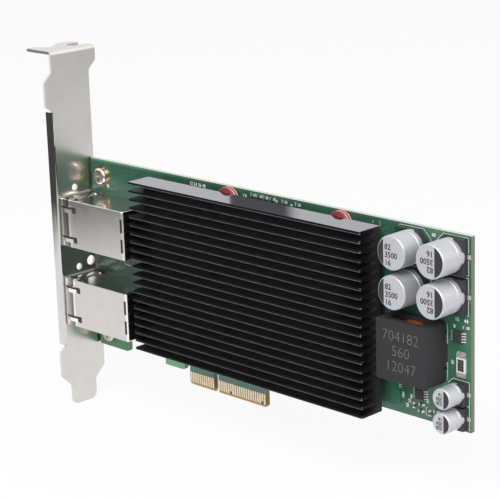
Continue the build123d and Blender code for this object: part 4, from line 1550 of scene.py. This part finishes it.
@dataclass
class RoundCapacitor:
    """A round capacitor on its square base.

    Args:
        label: the stem of its nodes' names.
        side: -1 or 1, the side along X of the half-moon.
        chord: how far from the axis the half-moon's straight edge runs.
        rows: the three plain numbers printed on its top.
        text_size: the size of the digits.
        text_thin: how much is taken off their strokes.
        row_pitch: the distance between rows.
        lift: how far the middle row stands over the axis, as the digits read.
        gap: how far from the half-moon's straight edge, towards the axis, the rows start.
        rim_share: how far inside the can's outline the half-moon ends, as a share of the radius.
    """

    label: str
    side: int
    chord: float
    rows: tuple[str, str, str] = ("82", "3500", "16")
    text_size: float = 2.3
    text_thin: float = -0.05
    row_pitch: float = 2.25
    lift: float = 0.0
    gap: float = 0.42
    rim_share: float = 0.08

    def build(self) -> None:
        """Dress the can and the base, and print the numbers on the can's top."""
        low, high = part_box(f"{self.label}_can")
        centre = (low + high) / 2 / MM
        radius = (high.x - low.x) / 2 / MM
        can = PrintedCan(f"{self.label}_print", (188, 189, 194), (198, 199, 204), 0.48, 0.5, 1.0, 0.002,
                         x=centre.x, z=centre.z, top_y=low.y / MM, radius=radius, side=self.side,
                         chord=self.chord, rim=self.rim_share * radius)
        dress([f"{self.label}_can"], can)
        dress([f"{self.label}_base"], BLACK_MOULDING)
        height = -low.y / MM - CircuitBoard.thickness / 2
        turn = 0.0 if self.side < 0 else 180.0
        x = centre.x + self.side * (self.chord - self.gap)
        numbers = []
        for row, text in zip((1, 0, -1), self.rows):
            place = on_face(x, centre.z - self.side * (row * self.row_pitch + self.lift), height, turn=turn)
            numbers.append(number(text, self.text_size, place, self.text_thin, "LEFT"))
        finish_piece(numbers, f"{self.label}_numbers", BLACK_INK)


@dataclass
class PowerInductor:
    """The ferrite block with its coil of flat wire.

    Args:
        x: X of its middle.
        z: Z of its middle.
        top: how far over the board its face lies.
        rows: the plain numbers marked on it, each with how far over the middle it stands.
        text_size: the size of the digits.
        text_thin: how much is taken off their strokes.
    """

    x: float = 84.5
    z: float = 33.95
    top: float = 8.9
    rows: tuple[tuple[str, float], ...] = (("704182", 4.45), ("560", 0.05), ("12047", -4.45))
    text_size: float = 4.5
    text_thin: float = 0.12

    def build(self) -> None:
        """Dress the block, its coil and terminals, and mark its face with plain numbers."""
        dress(["inductor_core"], INDUCTOR_FERRITE)
        dress(["inductor_coil"], COIL_COPPER)
        dress(["inductor_terminals"], BRIGHT_TIN)
        numbers = [number(text, self.text_size, on_face(self.x, self.z + over, self.top), self.text_thin)
                   for text, over in self.rows]
        finish_piece(numbers, "inductor_numbers", LASER_MARK)


@dataclass
class SmallPackages:
    """The moulded packages with leads, and the solder under their leads.

    Args:
        packages: X, Z, width, height and side of each.
        lead_count: how many leads each has on one side.
        lead_reach: how far the leads reach out from the body.
        wedge: the solder at a lead's toe.
    """

    packages: tuple[tuple[float, float, float, float, Side], ...] = (
        (84.4, 19.5, 3.0, 3.0, Side.COMPONENT), (98.05, 39.55, 2.9, 3.2, Side.COMPONENT),
        (40.0, 58.0, 3.9, 4.9, Side.SOLDER))
    lead_count: int = 4
    lead_reach: float = 0.95
    wedge: SolderWedge = SolderWedge(0.3, 0.42, 0.22)

    def build(self) -> None:
        """Dress the packages and their leads, and add the solder at each lead's toe."""
        dress(["regulator_chip", "sense_chip", "flash_chip"], CHIP_EPOXY)
        dress(["regulator_chip_leads", "sense_chip_leads", "flash_chip_leads"], CHIP_TIN)
        places = []
        for x, z, wide, tall, side in self.packages:
            for i in range(self.lead_count):
                lead_z = z + ((i + 0.5) / self.lead_count - 0.5) * tall
                for way in (-1, 1):
                    lead_x = x + way * (wide / 2 + self.lead_reach)
                    places.append(on_face(lead_x, lead_z, 0.0, side, turn_to(way, side)))
        finish_piece(repeat(self.wedge.shape(), places), "package_solder", CHIP_TIN)


@dataclass
class SenseResistor:
    """The current-sense resistor with its printed number.

    Args:
        x: X of its middle.
        z: Z of its middle.
        end_reach: how far from the middle its two ends lie.
        text: the plain number on it.
        text_size: the size of the digits.
        text_thin: how much is taken off their strokes.
        top: how far over the board they stand.
        wedge: the solder at its ends.
    """

    x: float = 99.25
    z: float = 31.4
    end_reach: float = 3.45
    text: str = "050"
    text_size: float = 1.9
    text_thin: float = 0.08
    top: float = 0.69
    wedge: SolderWedge = SolderWedge(0.5, 2.9, 0.4)

    def build(self) -> None:
        """Dress the resistor, print its number and solder its ends."""
        dress(["shunt_body"], WHITE_ALUMINA)
        dress(["shunt_coating"], CHIP_EPOXY)
        dress(["shunt_ends"], DIPPED_TIN)
        place = on_face(self.x, self.z, self.top, turn=90.0)
        mark = number(self.text, self.text_size, place, self.text_thin)
        finish_piece([mark], "shunt_number", WHITE_INK)
        places = [on_face(self.x, self.z + way * self.end_reach, turn=90.0 * way) for way in (1, -1)]
        finish_piece(repeat(self.wedge.shape(), places), "shunt_solder", DIPPED_TIN)


@dataclass
class ChipParts:
    """The small two-ended chip parts on both faces.

    Args:
        front: X and Z of each part on the component side, and whether it lies along X.
        length: how long a part is.
        centre: X and Z of the middle of the block of parts behind the controller.
        pitch: the distance between them.
        count: how many there are along each side of the block.
        wedge: the solder at a part's ends.
    """

    front: tuple[tuple[float, float, bool], ...] = (
        (19.4, 67.75, True), (24.6, 67.75, True), (32.5, 67.6, True), (37.9, 67.6, True), (100.85, 42.65, True),
        (88.0, 14.5, False), (82.2, 15.6, False), (90.3, 15.5, True), (22.0, 67.75, True), (27.6, 67.75, True),
        (84.9, 16.4, True), (84.7, 14.4, True))
    length: float = 1.6
    centre: Spot = (27.0, 40.0)
    pitch: float = 3.4
    count: int = 4
    wedge: SolderWedge = SolderWedge(0.32, 0.8, 0.38)

    def build(self) -> None:
        """Dress the parts and put a fillet of solder at each end."""
        dress(["ceramic_capacitors"], BROWN_CERAMIC)
        dress(["chip_resistors"], RESISTOR_GLAZE)
        dress(["chip_ends", "capacitor_feet"], CHIP_TIN)
        dress(["jack_pins"], BRIGHT_TIN)
        offsets = [(i - (self.count - 1) / 2) * self.pitch for i in range(self.count)]
        back = [(self.centre[0] + across, self.centre[1] + up, True) for across in offsets for up in offsets]
        places = []
        for side, parts in ((Side.COMPONENT, self.front), (Side.SOLDER, back)):
            for x, z, along_x in parts:
                for way in (-1, 1):
                    step = way * self.length / 2
                    if along_x:
                        places.append(on_face(x + step, z, 0.0, side, turn_to(way, side)))
                    else:
                        places.append(on_face(x, z + step, 0.0, side, 90.0 * way))
        finish_piece(repeat(self.wedge.shape(), places), "chip_solder", CHIP_TIN)


@dataclass(frozen=True)
class Softbox:
    """A square lamp.

    Args:
        name: its name.
        place: where it hangs, in millimetres.
        size: its side, in millimetres.
        power: its power in watts.
    """

    name: str
    place: Triple
    size: float
    power: float

    def hang(self, target: Triple) -> None:
        """Add the lamp.

        Args:
            target: the point that it faces, in millimetres.
        """
        deselect_all()
        where = Vector(self.place) * MM
        aim = Vector(target) * MM - where
        bpy.ops.object.light_add(type="AREA", location=where, rotation=aim.to_track_quat("-Z", "Y").to_euler())
        lamp = bpy.context.object
        lamp.name = self.name
        lamp.data.shape = "SQUARE"
        lamp.data.size = self.size * MM
        lamp.data.energy = self.power
        log.info("%s: hung", self.name)


@dataclass
class Studio:
    """White surroundings, soft lamps and the camera.

    Args:
        camera_place: where the camera stands, in millimetres.
        azimuth: the camera's turn about Z, in radians.
        elevation: how far it looks down, in radians.
        roll: its turn about its own axis, in radians.
        lens: its focal length.
        sensor: the width of its sensor.
        far: how far it sees, in metres.
        ambient: the strength of the surroundings' light on the object.
        floor_z: the floor's height, in millimetres.
        floor_size: the floor's side.
        floor_clouds: how large the floor's soft clouds are.
        floor_tones: the two colours between which they turn.
        floor_glow: how much of the floor's white doesn't take shadow.
        pool_place: the middle of the lit part of the floor, as metal shows it.
        pool_inner: how far that part is fully white.
        pool_outer: how far off it has faded.
        pool_dim: how white the floor still is out there.
        pool_squeeze: how much sooner it fades towards the camera than across.
        flag_xs: X on the uppermost fin between which the black flag is mirrored.
        flag_start: Y and Z of that fin's face.
        flag_far: how far from the fin the flag stands.
        flag_height: how tall it is.
        flag_fade: how far along X from its far end it starts to fade.
        flag_weave: how large the weave of its cloth is.
        flag_tones: the two colours of the weave.
        flag_pale: the colour that it fades to.
        flag_matt: its roughness.
        target: the point that the lamps face.
        lamps: the lamps.
    """

    camera_place: Triple = (401.85, -379.99, 201.4)
    azimuth: float = 0.79268
    elevation: float = 0.27312
    roll: float = -0.0320
    lens: float = 132.47
    sensor: float = 36.0
    far: float = 50.0
    ambient: float = 0.5
    floor_z: float = -14.6
    floor_size: float = 6000.0
    floor_clouds: float = 40.0
    floor_tones: tuple[Colour, Colour] = ((243, 243, 243), (245, 245, 245))
    floor_glow: float = 0.9
    pool_place: Triple = (80.0, 80.0, 0.0)
    pool_inner: float = 350.0
    pool_outer: float = 460.0
    pool_dim: float = 0.075
    pool_squeeze: float = 1.68
    flag_xs: Span = (17.0, 45.0)
    flag_start: Span = (-8.5, 67.7)
    flag_far: float = 150.0
    flag_height: float = 160.0
    flag_fade: float = -6.0
    flag_weave: float = 8.0
    flag_tones: tuple[Colour, Colour] = ((96, 96, 99), (102, 102, 105))
    flag_pale: Colour = (236, 236, 238)
    flag_matt: float = 0.9
    target: Triple = (20.0, -5.0, 45.0)
    lamps: tuple[Softbox, ...] = (Softbox("key_softbox", (520.0, -760.0, 900.0), 700.0, 13.0),
                                  Softbox("side_softbox", (900.0, 120.0, 380.0), 600.0, 2.4))

    def build(self) -> None:
        """Set up everything round the object."""
        self.add_surroundings()
        self.add_floor()
        for lamp in self.lamps:
            lamp.hang(self.target)
        self.add_flag()
        self.add_camera()
        bpy.context.scene.view_settings.view_transform = "Standard"

    def add_surroundings(self) -> None:
        """Make the world white to the eye and in reflections, and softer as a light."""
        world = bpy.data.worlds.new("surroundings")
        bpy.context.scene.world = world
        world.use_nodes = True
        nodes, links = world.node_tree.nodes, world.node_tree.links
        path = nodes.new("ShaderNodeLightPath")
        seen = path.outputs["Is Camera Ray"]
        for ray in ("Is Glossy Ray", "Is Transmission Ray"):
            larger = nodes.new("ShaderNodeMath")
            larger.operation = "MAXIMUM"
            links.new(seen, larger.inputs[0])
            links.new(path.outputs[ray], larger.inputs[1])
            seen = larger.outputs[0]
        strength = nodes.new("ShaderNodeMapRange")
        strength.inputs["To Min"].default_value = self.ambient
        links.new(seen, strength.inputs["Value"])
        background = nodes["Background"]
        background.inputs["Color"].default_value = (1.0, 1.0, 1.0, 1.0)
        links.new(strength.outputs["Result"], background.inputs["Strength"])
        log.info("surroundings: lit")

    def add_floor(self) -> None:
        """Lay a wide pale floor under the object."""
        deselect_all()
        bpy.ops.mesh.primitive_plane_add(size=self.floor_size * MM, location=(0.0, 0.0, self.floor_z * MM))
        floor = bpy.context.object
        floor.name = "floor"
        bpy.ops.object.transform_apply(location=True, rotation=True, scale=True)
        graph = Graph("floor_paper")
        pale, paler = self.floor_tones
        graph.surface(base_color=graph.mix(graph.clouds(self.floor_clouds), linear(pale), linear(paler)),
                      roughness=1.0, specular_ior_level=0.0)
        path = graph.node("ShaderNodeLightPath")
        seen, glossy, through = [Value(graph, path.outputs[ray])
                                 for ray in ("Is Camera Ray", "Is Glossy Ray", "Is Transmission Ray")]
        mirrored = glossy | through
        x, y, _ = graph.xyz(self.pool_place)
        towards, across = (x - y) * self.pool_squeeze, x + y
        reach = (towards * towards + across * across).math("SQRT") / math.sqrt(2)
        pool = graph.spread(reach, self.pool_inner, self.pool_outer, 1.0, self.pool_dim)
        glow = graph.node("ShaderNodeEmission", None,
                          {"Color": (1.0, 1.0, 1.0, 1.0), "Strength": seen + mirrored * pool})
        mixed = graph.node("ShaderNodeMixShader", None,
                           {0: seen * self.floor_glow + mirrored, 1: graph.shader.outputs[0], 2: glow.outputs[0]})
        graph.fill(graph.tree.nodes["Material Output"].inputs["Surface"], mixed.outputs[0])
        floor.data.materials.append(graph.material)
        log.info("floor: laid")

    def add_flag(self) -> None:
        """Stand a narrow black flag behind the card that only mirror-like surfaces show."""
        corners = []
        for x in self.flag_xs:
            spot = Vector((x, *self.flag_start))
            ray = (spot - Vector(self.camera_place)).normalized()
            ray.z = -ray.z
            corners.append(spot + ray * self.flag_far)
        middle, across = (corners[0] + corners[1]) / 2, corners[1] - corners[0]
        deselect_all()
        bpy.ops.mesh.primitive_plane_add(size=MM)
        flag = bpy.context.object
        flag.name = "flag"
        settle(flag, Matrix.Translation(middle * MM) @ Matrix.Rotation(math.atan2(across.y, across.x), 4, "Z")
               @ Matrix.Rotation(math.pi / 2, 4, "X")
               @ Matrix.Diagonal((across.length, self.flag_height, 1.0, 1.0)))
        cloth = Graph("flag_cloth")
        x, _, _ = cloth.xyz()
        fade = cloth.spread(x, corners[1].x + self.flag_fade, corners[1].x)
        dark, paler = self.flag_tones
        weave = cloth.mix(cloth.noise(self.flag_weave), linear(dark), linear(paler))
        cloth.surface(base_color=cloth.mix(fade, weave, linear(self.flag_pale)), roughness=self.flag_matt)
        flag.data.materials.append(cloth.material)
        for rays in ("visible_camera", "visible_diffuse", "visible_shadow", "visible_transmission"):
            setattr(flag, rays, False)
        log.info("flag: stood up")

    def add_camera(self) -> None:
        """Add the camera at the photograph's place and turn."""
        forward = Vector((-math.sin(self.azimuth) * math.cos(self.elevation),
                          math.cos(self.azimuth) * math.cos(self.elevation), -math.sin(self.elevation)))
        right = forward.cross(Vector((0.0, 0.0, 1.0))).normalized()
        up = right.cross(forward)
        across = right * math.cos(self.roll) + up * math.sin(self.roll)
        upwards = up * math.cos(self.roll) - right * math.sin(self.roll)
        turn = Matrix((across, upwards, -forward)).transposed().to_4x4()
        deselect_all()
        bpy.ops.object.camera_add()
        camera = bpy.context.object
        camera.name = "camera"
        camera.matrix_world = Matrix.Translation(Vector(self.camera_place) * MM) @ turn
        camera.data.sensor_width = self.sensor
        camera.data.lens = self.lens
        camera.data.clip_end = self.far
        bpy.context.scene.camera = camera
        log.info("camera: in place")


def main() -> None:
    """Build the card's classes in order, then the studio."""
    logging.basicConfig(level=logging.INFO, format="%(name)s: %(message)s")
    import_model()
    assemblies: list[SubAssembly] = [
        CircuitBoard(), MountingBracket(), ShieldedJack("upper", 49.7), ShieldedJack("lower", 22.55),
        FinnedHeatsink(), DrumChoke(1, 9.6), DrumChoke(2, 55.8),
        *[RoundCapacitor(f"capacitor_{i}", -1, 2.65, lift=-0.7) for i in (1, 3)],
        *[RoundCapacitor(f"capacitor_{i}", 1, 1.75) for i in (2, 4)],
        *[RoundCapacitor(f"small_capacitor_{i}", 1, 0.9, ("220", "350", "16"), 1.45, row_pitch=1.3) for i in (1, 2)],
        PowerInductor(), SmallPackages(), SenseResistor(), ChipParts(), Studio()]
    for assembly in assemblies:
        assembly.build()
        log.info("%s: built", type(assembly).__name__)


if __name__ == "__main__":
    main()
